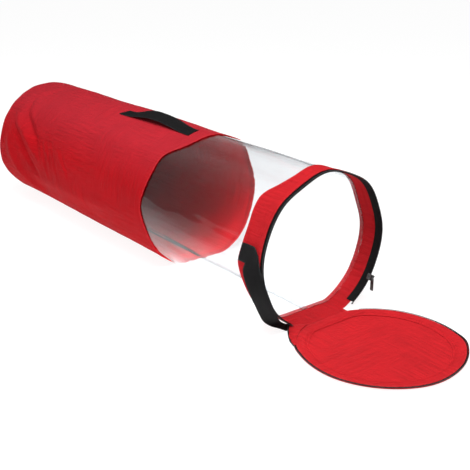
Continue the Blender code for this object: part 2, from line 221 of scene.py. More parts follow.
def makeStudio():
    scene, white = bpy.context.scene, (1, 1, 1)
    scene.view_settings.view_transform = "Standard"
    scene.world = bpy.data.worlds.new("paleStudio")
    scene.world.use_nodes = True
    tree = scene.world.node_tree
    tree.nodes.clear()
    out = addNode(tree, "ShaderNodeOutputWorld")
    height = splitNode(tree, addNode(tree, "ShaderNodeTexCoord").outputs["Generated"])["Z"]
    strength = rangeNode(tree, height, 0.0, 0.9, studio["skyHorizon"], studio["skyTop"])
    sky = addNode(tree, "ShaderNodeBackground", {"Color": white, "Strength": strength})
    backdrop = addNode(tree, "ShaderNodeBackground", {"Color": white, "Strength": studio["backdrop"]})
    mixBySight(tree, sky, backdrop, out)

    reach, level = studio["floorReach"], studio["floorLevel"]
    mesh = bpy.data.meshes.new("studioFloor")
    corners = [(x * reach, y * reach, level) for x, y in ((-1, -1), (1, -1), (1, 1), (-1, 1))]
    mesh.from_pydata(corners, [], [(0, 1, 2, 3)])
    material, tree, shader = newMaterial("paleFloor")
    setInputs(tree, shader, {
        "Base Color": (studio["floorColour"],) * 3,
        "Roughness": 0.9,
        "Specular IOR Level": 0.0,
        "Emission Color": white,
        "Emission Strength": studio["floorGlow"],
    })
    bounce = addNode(tree, "ShaderNodeBsdfDiffuse", {"Color": (studio["floorBounce"],) * 3})
    shine = addNode(tree, "ShaderNodeEmission", {"Strength": studio["floorShine"]})
    both = addNode(tree, "ShaderNodeAddShader", {0: bounce.outputs[0], 1: shine.outputs[0]})
    mixBySight(tree, both, shader, tree.nodes["Material Output"])
    mesh.materials.append(material)
    floor = addObject("studioFloor", mesh)
    for light in studio["lights"]:
        addSoftLight(*light)


makeCamera()
makeStudio()
print("camera and studio made")


# Shapes round the bag


def smoothStep(low, high, value):
    share = np.clip((value - low) / (high - low), 0, 1)
    return share * share * (3 - 2 * share)


def hermite(value, slope, run, t, k):
    ahead = 3 * t**2 - 2 * t**3
    bend = (t**3 - 2 * t**2 + t) * slope[k] + (t**3 - t**2) * slope[k + 1]
    return value[k] * (1 - ahead) + value[k + 1] * ahead + bend * run


def roundTable(table, degrees):
    # a smooth curve through (angle, value) pairs that closes round the bag
    knots = np.array(sorted(table), float)
    angle = np.concatenate((knots[-2:, 0] - 360, knots[:, 0], knots[:2, 0] + 360))
    value = np.concatenate((knots[-2:, 1], knots[:, 1], knots[:2, 1]))
    wrapped = (np.asarray(degrees, float) - knots[0, 0]) % 360 + knots[0, 0]
    k = np.clip(np.searchsorted(angle, wrapped, side="right") - 1, 0, len(angle) - 2)
    run = angle[k + 1] - angle[k]
    return hermite(value, np.gradient(value, angle), run, (wrapped - angle[k]) / run, k)


def shortTable(table, position):
    # a smooth curve through rows of (position, values...), open at both ends
    knots = np.array(table, float)
    position = np.asarray(position, float)
    k = np.clip(np.searchsorted(knots[:, 0], position, side="right") - 1, 0, len(knots) - 2)
    run = knots[k + 1, 0] - knots[k, 0]
    t = np.clip((position - knots[k, 0]) / run, 0, 1)
    return [hermite(column, np.gradient(column, knots[:, 0]), run, t, k) for column in knots.T[1:]]


def softMinimum(first, second, soft):
    share = np.clip(0.5 + 0.5 * (first - second) / soft, 0, 1)
    return first * (1 - share) + second * share - soft * share * (1 - share)


def facetDepth(x, degrees):
    share = 0.25 + 0.75 * smoothStep(0.0, 0.2, x) - 0.3 * smoothStep(0.49, 0.54, x)
    share = share * smoothStep(-0.5, -0.3, x)
    depth = 0
    for centre, half, most in bag["facets"]:
        away = np.abs((degrees - centre + 180) % 360 - 180)
        depth = depth + most * np.cos(np.clip(away / half, 0, 1) * math.pi / 2) ** 2
    return share * depth


def levelRadius(degrees, height):
    # from the centre line straight to the level underside
    return height / np.maximum(-np.sin(np.radians(degrees)), 1e-6)


def outerRadius(x, degrees, inset=0.0):
    # from the centre line to the fabric's face: round, with soft flats and a level underside
    ring = bag["radius"] - inset - facetDepth(x, degrees)
    return softMinimum(levelRadius(degrees, bag["centreHeight"] - inset), ring, bag["cornerSoftness"])


def bagPoints(x, degrees, radius):
    turn = np.radians(degrees)
    x, turn, radius = np.broadcast_arrays(np.asarray(x, float), turn, radius)
    y = -radius * np.cos(turn)
    return np.stack((x, y, bag["centreHeight"] + radius * np.sin(turn)), axis=-1)


def offFloor(degrees):
    # 0 on the level underside and 1 on the rest, so that nothing is pushed through the floor
    away = np.abs((degrees + 90 + 180) % 360 - 180)
    return smoothStep(25, 44, away)


def roll(points, size, seed):
    # noise from -1 to 1 at each point, with features of the given size along X, Y and Z
    scaled = points / np.array(size, float) + seed * 7.31
    flat = scaled.reshape(-1, 3)
    values = np.fromiter((noise.noise(Vector(p)) for p in flat), float, len(flat))
    return values.reshape(points.shape[:-1])


def roundAngles(count):
    return np.linspace(-90, 270, count, endpoint=False)


def creaseOffset(x, degrees, height, width, hollow, line):
    # a raised fold along a line on the cloth, with or without a hollow beside it
    across = bag["radius"] * np.radians((degrees + 90) % 360 - 90)
    line = np.array([(px, bag["radius"] * math.radians(a)) for px, a in line])
    nearest = np.full(np.shape(across), 1e9)
    signed, share = np.zeros(np.shape(across)), np.zeros(np.shape(across))
    steps = len(line) - 1
    for k in range(steps):
        start, run = line[k], line[k + 1] - line[k]
        dx, ds = x - start[0], across - start[1]
        t = np.clip((dx * run[0] + ds * run[1]) / np.hypot(*run) ** 2, 0, 1)
        away = np.hypot(dx - t * run[0], ds - t * run[1])
        closer = away < nearest
        nearest = np.where(closer, away, nearest)
        signed = np.where(closer, away * np.sign(run[0] * ds - run[1] * dx), signed)
        share = np.where(closer, (k + t) / steps, share)
    offset = height * np.exp(-((nearest / width) ** 2))
    if hollow:
        depth, aside, spread = hollow
        dip = depth * np.exp(-(((signed - aside) / spread) ** 2))
        offset = offset - dip * np.exp(-((nearest / (3 * spread)) ** 4))
    return offset * np.sin(np.pi * np.clip(share, 0, 1)) ** 0.7


def roundMesh(name, rings, uvs, closed=False, centres=(None, None), flip=False, sharp=50):
    # rings of points, each closed; the rows join into a loop, or end in a point at each centre
    rings, uvs = np.asarray(rings, float), np.asarray(uvs, float)
    rows, columns = rings.shape[:2]
    i, j = np.meshgrid(np.arange(rows if closed else rows - 1), np.arange(columns), indexing="ij")
    iNext, jNext = (i + 1) % rows, (j + 1) % columns
    corners = ((i, j, j), (i, jNext, j + 1), (iNext, jNext, j + 1), (iNext, j, j))
    faces = np.stack([row * columns + column for row, column, _ in corners], -1).reshape(-1, 4)
    marks = np.stack([uvs[row, column] for row, _, column in corners], -2).reshape(-1, 4, 2)
    points = rings.reshape(-1, 3).tolist()
    faces, marks = faces.tolist(), marks.tolist()
    for row, centre in zip((0, rows - 1), centres):
        if centre is None:
            continue
        place, mark = centre
        points.append(tuple(place))
        tip = len(points) - 1
        for column in range(columns):
            after = (column + 1) % columns
            low, high = row * columns + column, row * columns + after
            lowMark, highMark = uvs[row, column].tolist(), uvs[row, column + 1].tolist()
            if row == 0:
                faces.append([high, low, tip])
                marks.append([highMark, lowMark, list(mark)])
            else:
                faces.append([low, high, tip])
                marks.append([lowMark, highMark, list(mark)])
    if flip:
        faces = [face[::-1] for face in faces]
        marks = [mark[::-1] for mark in marks]
    return finishMesh(name, points, faces, marks, sharp)


def finishMesh(name, points, faces, marks, sharp=50):
    mesh = bpy.data.meshes.new(name)
    mesh.from_pydata(points, [], faces)
    layer = mesh.uv_layers.new(name="cloth")
    flat = [value for mark in marks for pair in mark for value in pair]
    layer.data.foreach_set("uv", flat)
    mesh.shade_smooth()
    mesh.set_sharp_from_angle(angle=math.radians(sharp))
    mesh.validate()
    return mesh


def barMesh(name, sections, sharp=40):
    # a bar through closed sections, with flat ends; u runs along it and v round the section
    sections = np.asarray(sections, float)
    rows, columns = sections.shape[:2]
    middle = sections.mean(axis=1)
    along = np.concatenate(([0], np.cumsum(np.linalg.norm(np.diff(middle, axis=0), axis=1))))
    loop = np.concatenate((sections, sections[:, :1]), axis=1)
    around = np.linalg.norm(np.diff(loop, axis=1), axis=2).mean(axis=0)
    around = np.concatenate(([0], np.cumsum(around)))
    points = sections.reshape(-1, 3).tolist()
    faces, marks = [], []
    for i in range(rows - 1):
        for j in range(columns):
            k = (j + 1) % columns
            faces.append([i * columns + j, i * columns + k, (i + 1) * columns + k, (i + 1) * columns + j])
            low, high = along[i], along[i + 1]
            marks.append([(low, around[j]), (low, around[j + 1]), (high, around[j + 1]), (high, around[j])])
    first = list(range(columns))[::-1]
    last = [(rows - 1) * columns + j for j in range(columns)]
    faces += [first, last]
    marks += [[(along[0], around[j]) for j in first], [(along[-1], around[j % columns]) for j in last]]
    return finishMesh(name, points, faces, marks, sharp)


def setPointValues(mesh, name, values):
    layer = mesh.attributes.new(name, "FLOAT", "POINT")
    layer.data.foreach_set("value", np.asarray(values, np.float32).ravel())


def addPiece(name, mesh, material, body=None, replaces=(), lining=None):
    # with a lining, the second half of the mesh's rows is the inner side
    mesh.materials.clear()
    mesh.materials.append(material)
    if lining:
        mesh.materials.append(lining)
        inner = np.arange(len(mesh.polygons)) >= len(mesh.polygons) // 2
        mesh.polygons.foreach_set("material_index", inner.astype(np.int32))
    piece = addObject(name, mesh)
    if replaces:
        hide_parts(*replaces)
    if body:
        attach(piece, body)
    return piece


# Effects that several materials share


def makeGroup(name, inputs, outputs, kind="ShaderNodeTree"):
    group = bpy.data.node_groups.new(name, kind)
    for label, form, value in inputs:
        socket = group.interface.new_socket(name=label, in_out="INPUT", socket_type="NodeSocket" + form)
        if value is not None:
            socket.default_value = value
    for label, form in outputs:
        group.interface.new_socket(name=label, in_out="OUTPUT", socket_type="NodeSocket" + form)
    return group, group.nodes.new("NodeGroupInput").outputs, group.nodes.new("NodeGroupOutput").inputs


def makeWeaveGroup():
    # plain weave: threads pass over and under each other by turns
    group, start, end = makeGroup(
        "plainWeave",
        [("UV", "Vector", None), ("Threads per metre", "Float", 1800.0)],
        [("Height", "Float"), ("Streaks", "Float")],
    )
    scaled = vectorNode(group, "SCALE", {0: start["UV"], "Scale": start["Threads per metre"]})
    split = splitNode(group, scaled)
    profiles, cells = [], []
    for axis in ("X", "Y"):
        part = mathNode(group, "FRACT", split[axis])
        profiles.append(mathNode(group, "SINE", mathNode(group, "MULTIPLY", part, math.pi)))
        cells.append(mathNode(group, "FLOOR", split[axis]))
    parity = mathNode(group, "FLOORED_MODULO", mathNode(group, "ADD", *cells), 2.0)
    crossings = [
        mathNode(group, "MULTIPLY", upper, mathNode(group, "MULTIPLY_ADD", lower, 0.5, 0.5))
        for upper, lower in (profiles, profiles[::-1])
    ]
    setInput(group, end["Height"], blendNode(group, parity, *crossings))
    streaks = [
        noiseNode(group, vectorNode(group, "MULTIPLY", {0: scaled, 1: stretch}), 1.0, 1.0)
        for stretch in ((0.55, 0.012, 1.0), (0.012, 0.55, 1.0))
    ]
    setInput(group, end["Streaks"], mathNode(group, "MULTIPLY", mathNode(group, "ADD", *streaks), 0.5))
    return group


def makeMottleGroup():
    # slow change of tone over a surface, and the small unevenness that goes with it
    group, start, end = makeGroup(
        "unevenSurface",
        [("Vector", "Vector", None), ("Patches per metre", "Float", 12.0)],
        [("Tone", "Float"), ("Ripple", "Float")],
    )
    slow = noiseNode(group, start["Vector"], start["Patches per metre"], 3.0, 0.55)
    finer = mathNode(group, "MULTIPLY", start["Patches per metre"], 4.3)
    quick = noiseNode(group, start["Vector"], finer, 2.0)
    tone = mathNode(group, "MULTIPLY_ADD", quick, 0.3, mathNode(group, "MULTIPLY", slow, 0.7))
    setInput(group, end["Tone"], rangeNode(group, tone, 0.32, 0.68))
    setInput(group, end["Ripple"], mathNode(group, "MULTIPLY_ADD", quick, 0.35, slow))
    return group


def makeCrinkleGroup():
    # fine pulls in limp cloth, across it in some patches and along it in others
    group, start, end = makeGroup(
        "crinkledCloth",
        [("UV", "Vector", None), ("Crinkles per metre", "Float", 190.0)],
        [("Height", "Float")],
    )
    rows = [
        noiseNode(
            group, vectorNode(group, "MULTIPLY", {0: start["UV"], 1: stretch}), start["Crinkles per metre"], 2.0, 0.6
        )
        for stretch in ((1.0, 0.075, 1.0), (0.07, 0.9, 1.0))
    ]
    patch = rangeNode(group, noiseNode(group, start["UV"], 7.0, 1.0), 0.42, 0.60)
    setInput(group, end["Height"], rangeNode(group, blendNode(group, patch, *rows), 0.33, 0.67))
    return group


def makeRubGroup():
    # where edges and folds are rubbed, broken up by noise
    group, start, end = makeGroup(
        "rubbedEdges",
        [("Vector", "Vector", None), ("Edge", "Float", 0.0), ("Amount", "Float", 0.5)],
        [("Mask", "Float")],
    )
    broken = rangeNode(group, noiseNode(group, start["Vector"], 180.0, 3.0, 0.65), 0.35, 0.7)
    worn = mathNode(group, "MULTIPLY", start["Edge"], broken)
    setInput(group, end["Mask"], mathNode(group, "MULTIPLY", worn, start["Amount"]))
    return group


weaveGroup = makeWeaveGroup()
mottleGroup = makeMottleGroup()
crinkleGroup = makeCrinkleGroup()
rubGroup = makeRubGroup()


def placeGroup(tree, group, inputs):
    return addNode(tree, "ShaderNodeGroup", inputs, node_tree=group).outputs


def addWeave(tree, threads):
    uv = addNode(tree, "ShaderNodeUVMap", uv_map="cloth").outputs[0]
    return uv, placeGroup(tree, weaveGroup, {"Threads per metre": threads, "UV": uv})


def addSurface(tree, patches, worn):
    # object coordinates, slow unevenness, and a mask of the rubbed edges
    place = addNode(tree, "ShaderNodeTexCoord").outputs["Object"]
    mottle = placeGroup(tree, mottleGroup, {"Patches per metre": patches, "Vector": place})
    edge = addNode(tree, "ShaderNodeAttribute", attribute_name="edge").outputs["Fac"]
    rub = placeGroup(tree, rubGroup, {"Amount": worn, "Vector": place, "Edge": edge})["Mask"]
    return place, mottle, rub


redCloth = {
    "deep": (0.300, 0.0026, 0.0056),
    "bright": (0.462, 0.0056, 0.0105),
    "rubbed": (0.62, 0.060, 0.065),
    "rubbing": 0.55,
    # painted sheen: a pale colour painted on towards the top, and the heights over which it comes in
    "paintedTopSheen": (0.56, 0.30, 0.44),
    "paintedSheenHeights": (0.185, 0.262),
    "mottleShare": 0.35,
    "streakShare": 0.2,
    "crinkleShadeShare": 0.45,
    "threadsPerMetre": 1900.0,
    "weaveDepth": 0.00025,
    "crinklesPerMetre": 170.0,
    "crinkleDepth": 0.0022,
    "wrinkleDepth": 0.0016,
}


# brightness scales the cloth's red; above 1 it paints light onto a lighter copy of the same cloth
def makeRedCloth(name, brightness, patches, pale, paintedTopSheen=0.0):
    material, tree, shader = newMaterial(name)
    uv, weave = addWeave(tree, redCloth["threadsPerMetre"])
    place, mottle, rub = addSurface(tree, patches, redCloth["rubbing"])
    crinkle = placeGroup(tree, crinkleGroup, {"Crinkles per metre": redCloth["crinklesPerMetre"], "UV": uv})["Height"]
    tone = mathNode(tree, "MULTIPLY", mottle["Tone"], redCloth["mottleShare"])
    tone = mathNode(tree, "MULTIPLY_ADD", weave["Streaks"], redCloth["streakShare"], tone)
    # painted shade: the crinkles' height also lightens and darkens the cloth's colour, besides bending its normals
    tone = mathNode(tree, "MULTIPLY_ADD", crinkle, redCloth["crinkleShadeShare"], tone)
    deep, bright = (
        tuple(value * brightness + extra for value, extra in zip(redCloth[shade], (0, pale, pale)))
        for shade in ("deep", "bright")
    )
    colour = mixColour(tree, tone, deep, bright)
    colour = mixColour(tree, rub, colour, redCloth["rubbed"])
    if paintedTopSheen:
        # painted sheen: the cloth is painted paler towards the top, standing in for the sky's reflection on its upper
        # side
        height = splitNode(tree, place)["Z"]
        share = rangeNode(tree, height, *redCloth["paintedSheenHeights"], 0.0, paintedTopSheen)
        colour = mixColour(tree, share, colour, redCloth["paintedTopSheen"])
    fine = addBump(tree, weave["Height"], redCloth["weaveDepth"], 0.8)
    pulled = addBump(tree, crinkle, redCloth["crinkleDepth"], 0.6, fine)
    setInputs(tree, shader, {
        "Base Color": colour,
        "Roughness": rangeNode(tree, mottle["Tone"], 0.0, 1.0, 0.52, 0.66),
        "Specular IOR Level": 0.015,
        "Sheen Weight": 0.008,
        "Sheen Roughness": 0.4,
        "Sheen Tint": (1.0, 0.62, 0.64),
        "Normal": addBump(tree, mottle["Ripple"], redCloth["wrinkleDepth"], 0.5, pulled),
    })
    return material


clearSheet = {"tint": (0.945, 0.955, 0.965), "edgeTint": (0.66, 0.73, 0.77), "ior": 1.25}


def makeClearSheet(name):
    # clear film: light falls straight through it, and it shows gloss and slight ripples
    material, tree, shader = newMaterial(name)
    place = addNode(tree, "ShaderNodeTexCoord").outputs["Object"]
    mottle = placeGroup(tree, mottleGroup, {"Patches per metre": 9.0, "Vector": place})
    facing = addNode(tree, "ShaderNodeLayerWeight", {"Blend": 0.5}).outputs["Facing"]
    slant = mathNode(tree, "POWER", facing, 3.0)
    stretched = addNode(tree, "ShaderNodeMapping", {"Vector": place, "Scale": (0.10, 1.0, 1.0)}).outputs[0]
    setInputs(tree, shader, {
        "Base Color": mixColour(tree, slant, clearSheet["tint"], clearSheet["edgeTint"]),
        "Transmission Weight": 1.0,
        "IOR": clearSheet["ior"],
        "Roughness": rangeNode(tree, mottle["Tone"], 0.0, 1.0, 0.015, 0.05),
        "Normal": addBump(tree, noiseNode(tree, stretched, 24.0, 2.0, 0.45), 0.006, 0.5),
    })
    through = addNode(tree, "ShaderNodeBsdfTransparent", {"Color": clearSheet["tint"]})
    shadow = addNode(tree, "ShaderNodeLightPath").outputs["Is Shadow Ray"]
    mix = addNode(tree, "ShaderNodeMixShader", {"Fac": shadow, 1: shader.outputs[0], 2: through.outputs[0]})
    tree.links.new(mix.outputs[0], tree.nodes["Material Output"].inputs["Surface"])
    return material


blackTape = {
    "dark": (0.0040, 0.0038, 0.0042),
    "light": (0.0078, 0.0074, 0.0080),
    "rubbed": (0.09, 0.09, 0.095),
    "gloss": 0.09,
}


def makeRibbedBlack(name, ribsPerMetre, ribDepth, roughness):
    # webbing and zipper tape: ribs along the length, crossed by fine threads
    material, tree, shader = newMaterial(name)
    uv, weave = addWeave(tree, ribsPerMetre * 2.2)
    _, mottle, rub = addSurface(tree, 40.0, 0.5)
    ribs = mathNode(tree, "SINE", mathNode(tree, "MULTIPLY", splitNode(tree, uv)["Y"], ribsPerMetre * 2 * math.pi))
    tone = mathNode(tree, "MULTIPLY", mottle["Tone"], 0.5)
    tone = mathNode(tree, "MULTIPLY_ADD", weave["Streaks"], 0.5, tone)
    colour = mixColour(tree, tone, blackTape["dark"], blackTape["light"])
    height = mathNode(tree, "MULTIPLY_ADD", weave["Height"], 0.6, mathNode(tree, "MULTIPLY", ribs, 0.5))
    setInputs(tree, shader, {
        "Base Color": mixColour(tree, rub, colour, blackTape["rubbed"]),
        "Roughness": rangeNode(tree, tone, 0, 1, roughness - 0.08, roughness + 0.08),
        "Specular IOR Level": blackTape["gloss"],
        "Normal": addBump(tree, height, ribDepth, 0.9),
    })
    return material


hardBlack = {"dark": (0.009, 0.009, 0.010), "light": (0.020, 0.020, 0.022), "bare": (0.42, 0.41, 0.40)}


def makeHardBlack(name, metallic, roughness, worn):
    # moulded teeth, and the painted metal of slider and stops with worn edges
    material, tree, shader = newMaterial(name)
    _, mottle, rub = addSurface(tree, 260.0, worn)
    colour = mixColour(tree, mottle["Tone"], hardBlack["dark"], hardBlack["light"])
    setInputs(tree, shader, {
        "Base Color": mixColour(tree, rub, colour, hardBlack["bare"]),
        "Roughness": rangeNode(tree, mottle["Tone"], 0, 1, roughness - 0.06, roughness + 0.08),
        "Metallic": metallic,
        "Normal": addBump(tree, mottle["Ripple"], 0.0001, 0.4),
    })
    return material


# the sleeve has the painted sheen on its upper side
sleeveRed = makeRedCloth("sleeveRedPolyester", 1.0, 11.0, 0.0008, paintedTopSheen=0.040)
# the lining is a lighter copy of the red cloth: painted light that lifts the shade inside the bag
liningRed = makeRedCloth("liningRedPolyester", 1.6, 11.0, 0.002)
# the band and the lid are lighter copies of the same red cloth: painted light, standing in for the stronger light near
# the mouth
bandRed = makeRedCloth("bandRedPolyester", 1.14, 16.0, 0.009)
lidRed = makeRedCloth("lidRedPolyester", 1.30, 14.0, 0.011)
clearPvc = makeClearSheet("clearPvcSheet")
zipTape = makeRibbedBlack("blackZipTape", 900.0, 0.00015, 0.72)
webbingBlack = makeRibbedBlack("blackWebbing", 420.0, 0.0005, 0.62)
threadBlack = makeRibbedBlack("blackThread", 1400.0, 0.0001, 0.5)
toothBlack = makeHardBlack("blackCoil", 0.0, 0.34, 0.0)
sliderBlack = makeHardBlack("blackPaintedMetal", 0.35, 0.3, 0.25)
print("materials made")


# Rows of stitches and zipper teeth, by geometry nodes


def makeRowTree():
    tree, start, end = makeGroup(
        "rowAlongSeam",
        [
            ("Path", "Geometry", None),
            ("Spacing", "Float", 0.003),
            ("Size", "Vector", (0.002, 0.0004, 0.0004)),
            ("Unevenness", "Float", 0.1),
            ("Seed", "Int", 3),
            ("Finish", "Material", None),
        ],
        [("Row", "Geometry")],
        "GeometryNodeTree",
    )

    def step(kind, inputs=None, output=0, **settings):
        return addNode(tree, kind, inputs, **settings).outputs[output]

    curve = step("GeometryNodeMeshToCurve", {"Mesh": start["Path"]})
    points = step("GeometryNodeResampleCurve", {"Curve": curve, "Length": start["Spacing"]}, mode="LENGTH")
    ball = step("GeometryNodeMeshUVSphere", {"Segments": 8, "Rings": 4, "Radius": 0.5})
    tangent = step("GeometryNodeInputTangent")
    outward = step("GeometryNodeInputNamedAttribute", {"Name": "outward"}, "Attribute", data_type="FLOAT_VECTOR")
    turn = step("FunctionNodeAlignRotationToVector", {"Vector": tangent}, axis="X")
    turn = step(
        "FunctionNodeAlignRotationToVector", {"Rotation": turn, "Vector": outward}, axis="Z", pivot_axis="X"
    )
    lowest, highest = (mathNode(tree, sign, 1.0, start["Unevenness"]) for sign in ("SUBTRACT", "ADD"))
    vary = step("FunctionNodeRandomValue", {2: lowest, 3: highest, "Seed": start["Seed"]}, 1, data_type="FLOAT")
    size = vectorNode(tree, "SCALE", {0: start["Size"], "Scale": vary})
    inputs = {"Points": points, "Instance": ball, "Rotation": turn, "Scale": size}
    row = step("GeometryNodeInstanceOnPoints", inputs)
    row = step("GeometryNodeRealizeInstances", {"Geometry": row})
    row = step("GeometryNodeSetShadeSmooth", {"Geometry": row})
    row = step("GeometryNodeSetMaterial", {"Geometry": row, "Material": start["Finish"]})
    setInput(tree, end["Row"], row)
    return tree


rowTree = makeRowTree()


def evaluatedMesh(carrier):
    return bpy.data.meshes.new_from_object(carrier.evaluated_get(bpy.context.evaluated_depsgraph_get()))


def rowMesh(name, paths, spacing, size, material, unevenness=0.08, seed=3):
    # paths are lists of (points, outward directions, closed)
    points, edges, outward = [], [], []
    for path, normals, closed in paths:
        first, count = len(points), len(path)
        points += [tuple(p) for p in path]
        outward += [value for normal in normals for value in normal]
        edges += [(first + k, first + k + 1) for k in range(count - 1)]
        if closed:
            edges.append((first + count - 1, first))
    mesh = bpy.data.meshes.new(name + "Path")
    mesh.from_pydata(points, edges, [])
    layer = mesh.attributes.new("outward", "FLOAT_VECTOR", "POINT")
    layer.data.foreach_set("vector", outward)
    carrier = addObject(name + "Path", mesh)
    modifier = carrier.modifiers.new("row", "NODES")
    modifier.node_group = rowTree
    values = {"Spacing": spacing, "Size": size, "Unevenness": unevenness, "Seed": seed, "Finish": material}
    for socket in rowTree.interface.items_tree:
        if socket.in_out == "INPUT" and socket.name in values:
            modifier[socket.identifier] = values[socket.name]
    row = evaluatedMesh(carrier)
    row.name = name
    carrier.modifiers.remove(modifier)
    bpy.data.objects.remove(carrier)
    return row


def bagPath(x, degrees, lift, closed=False):
    # a line on the bag's face, with the directions that point out of it
    x, degrees = np.broadcast_arrays(np.asarray(x, float), np.asarray(degrees, float))
    points = bagPoints(x, degrees, outerRadius(x, degrees) + lift)
    out = bagPoints(np.zeros_like(x), degrees, 1.0) - np.array((0, 0, bag["centreHeight"]))
    return points, out, closed


def clothUvs(x, degrees):
    # u is x and v the way round the bag, both in metres; degrees has one more column than x
    x = np.concatenate((x, x[:, :1]), axis=1)
    around = np.broadcast_to(bag["radius"] * np.radians(degrees), x.shape)
    return np.stack((x, around), axis=-1)



def tubeMesh(name, x, degrees, radius, wall):
    # a tube of cloth or film whose rows lie at x and whose outer face lies at radius
    grid = np.broadcast_to(degrees, x.shape)
    outer, inner = bagPoints(x, grid, radius), bagPoints(x, grid, radius - wall)
    uvs = clothUvs(np.concatenate((x, x[::-1])), np.append(degrees, 270.0))
    return roundMesh(name, np.concatenate((outer, inner[::-1])), uvs, closed=True)


# Rear sleeve

sleeve = {
    "rearX": -0.540,
    "rearRounding": 0.012,
    "rearHem": 0.004,
    "stations": 168,
    "columns": 232,
    "hemWidth": 0.021,
    "hemRise": 0.0008,
    "stitchSpacing": 0.0036,
    "stitchSize": (0.0026, 0.0005, 0.0005),
    "broadSag": 0.0016,
    "wrinkle": 0.0007,
    "rearPucker": 0.0011,
    "gather": 0.0004,
    "slump": [  # angle, how far the rear end's rim hangs out of the round
        (-90, 0.0), (-60, 0.0010), (-43, 0.0022), (-35, 0.0050), (-28, 0.0084), (-19, 0.0108), (-13, 0.0114),
        (-7, 0.0096), (0, 0.0076), (8, 0.0042), (20, 0.0030), (34, 0.0028), (45, 0.0034), (58, 0.0028),
        (70, 0.0024), (82, 0.0006), (100, 0.0), (180, 0.0), (240, 0.0),
    ],
    "slumpLength": 0.075,
    "creases": [  # height, width, hollow beside it (depth, distance, width), line of (x, angle)
        (0.0090, 0.0110, None,
         [(-0.486, 41), (-0.466, 36), (-0.447, 30), (-0.400, 22), (-0.360, 14), (-0.326, 6), (-0.300, -2)]),
        (-0.0098, 0.0105, None, [(-0.462, 60), (-0.455, 50), (-0.438, 40), (-0.394, 31), (-0.350, 22), (-0.312, 13)]),
        (-0.0078, 0.0105, None, [(-0.476, 27), (-0.446, 19), (-0.408, 10), (-0.378, 0), (-0.346, -9), (-0.315, -16)]),
        (0.0084, 0.0170, None, [(-0.497, 16), (-0.476, 6), (-0.455, -6), (-0.430, -20), (-0.380, -33), (-0.320, -42)]),
        (0.0042, 0.0200, None,
         [(-0.36, 32), (-0.32, 36.5), (-0.256, 40.5), (-0.17, 44.5), (-0.10, 47), (0.04, 48), (0.15, 49)]),
        (0.0040, 0.0190, None,
         [(-0.36, -17.5), (-0.327, -17), (-0.22, -16), (-0.12, -14), (-0.02, -11.5), (0.07, -8), (0.15, -3)]),
        (0.0018, 0.0060, (0.0016, 0.011, 0.007), [(-0.300, 26), (-0.285, 17), (-0.262, 8), (-0.246, -2)]),
        (0.0016, 0.0055, (0.0015, 0.010, 0.007), [(-0.228, 20), (-0.205, 12), (-0.180, 4), (-0.168, -6)]),
        (0.0022, 0.010, (0.0022, -0.018, 0.010),
         [(-0.505, 60), (-0.483, 61), (-0.438, 73), (-0.424, 91), (-0.40, 104)]),
        (0.0016, 0.006, (0.0014, 0.012, 0.007), [(-0.34, 24), (-0.31, 14), (-0.285, 0), (-0.27, -14)]),
        (0.0013, 0.006, (0.0012, 0.011, 0.007), [(-0.29, 30), (-0.26, 16), (-0.235, 2), (-0.22, -10)]),
        (0.0042, 0.016, (0.0035, 0.026, 0.016), [(-0.46, 200), (-0.41, 186), (-0.37, 168), (-0.36, 150)]),
        (0.0030, 0.014, (0.0025, -0.024, 0.014), [(-0.49, 130), (-0.44, 138), (-0.40, 152)]),
    ],
}


def sleeveOffset(x, degrees):
    # how far the cloth stands out of its plain form: sag, wrinkles, folds and the hem's fold-over
    points = bagPoints(x, degrees, bag["radius"])
    sag = sleeve["broadSag"] * roll(points, (0.16, 0.12, 0.12), 1)
    slack = smoothStep(0.16, -0.1, x)
    wrinkle = sleeve["wrinkle"] * roll(points, (0.035, 0.11, 0.11), 2) * (0.5 + 0.5 * slack)
    pucker = sleeve["rearPucker"] * roll(points, (0.05, 0.022, 0.022), 3) * np.exp(-(x - sleeve["rearX"]) / 0.035)
    offset = sag + wrinkle + pucker
    for crease in sleeve["creases"]:
        offset = offset + creaseOffset(x, degrees, *crease)
    hemAway = roundTable(bag["windowSeam"], degrees) - x
    gather = sleeve["gather"] * roll(points, (0.03, 0.011, 0.011), 4) * np.exp(-hemAway / 0.03)
    hem = sleeve["hemRise"] * (1 - smoothStep(sleeve["hemWidth"] - 0.002, sleeve["hemWidth"], hemAway))
    return (offset * smoothStep(0.0, 0.05, hemAway) + gather + hem) * offFloor(degrees)


def slumped(points):
    # the rear end hangs out backwards and outwards, most on the near side
    points = np.array(points, float)
    y, z = points[..., 1], points[..., 2] - bag["centreHeight"]
    away = np.maximum(np.hypot(y, z), 1e-9)
    reach = 0.6 * roundTable(sleeve["slump"], np.degrees(np.arctan2(z, -y)))
    reach = reach * np.exp(-(((points[..., 0] - sleeve["rearX"]) / sleeve["slumpLength"]) ** 2))
    reach = reach * np.clip(away / bag["radius"], 0, 1.1) ** 2
    shift = np.stack((-reach, reach * y / away, reach * z / away), axis=-1)
    return points + shift


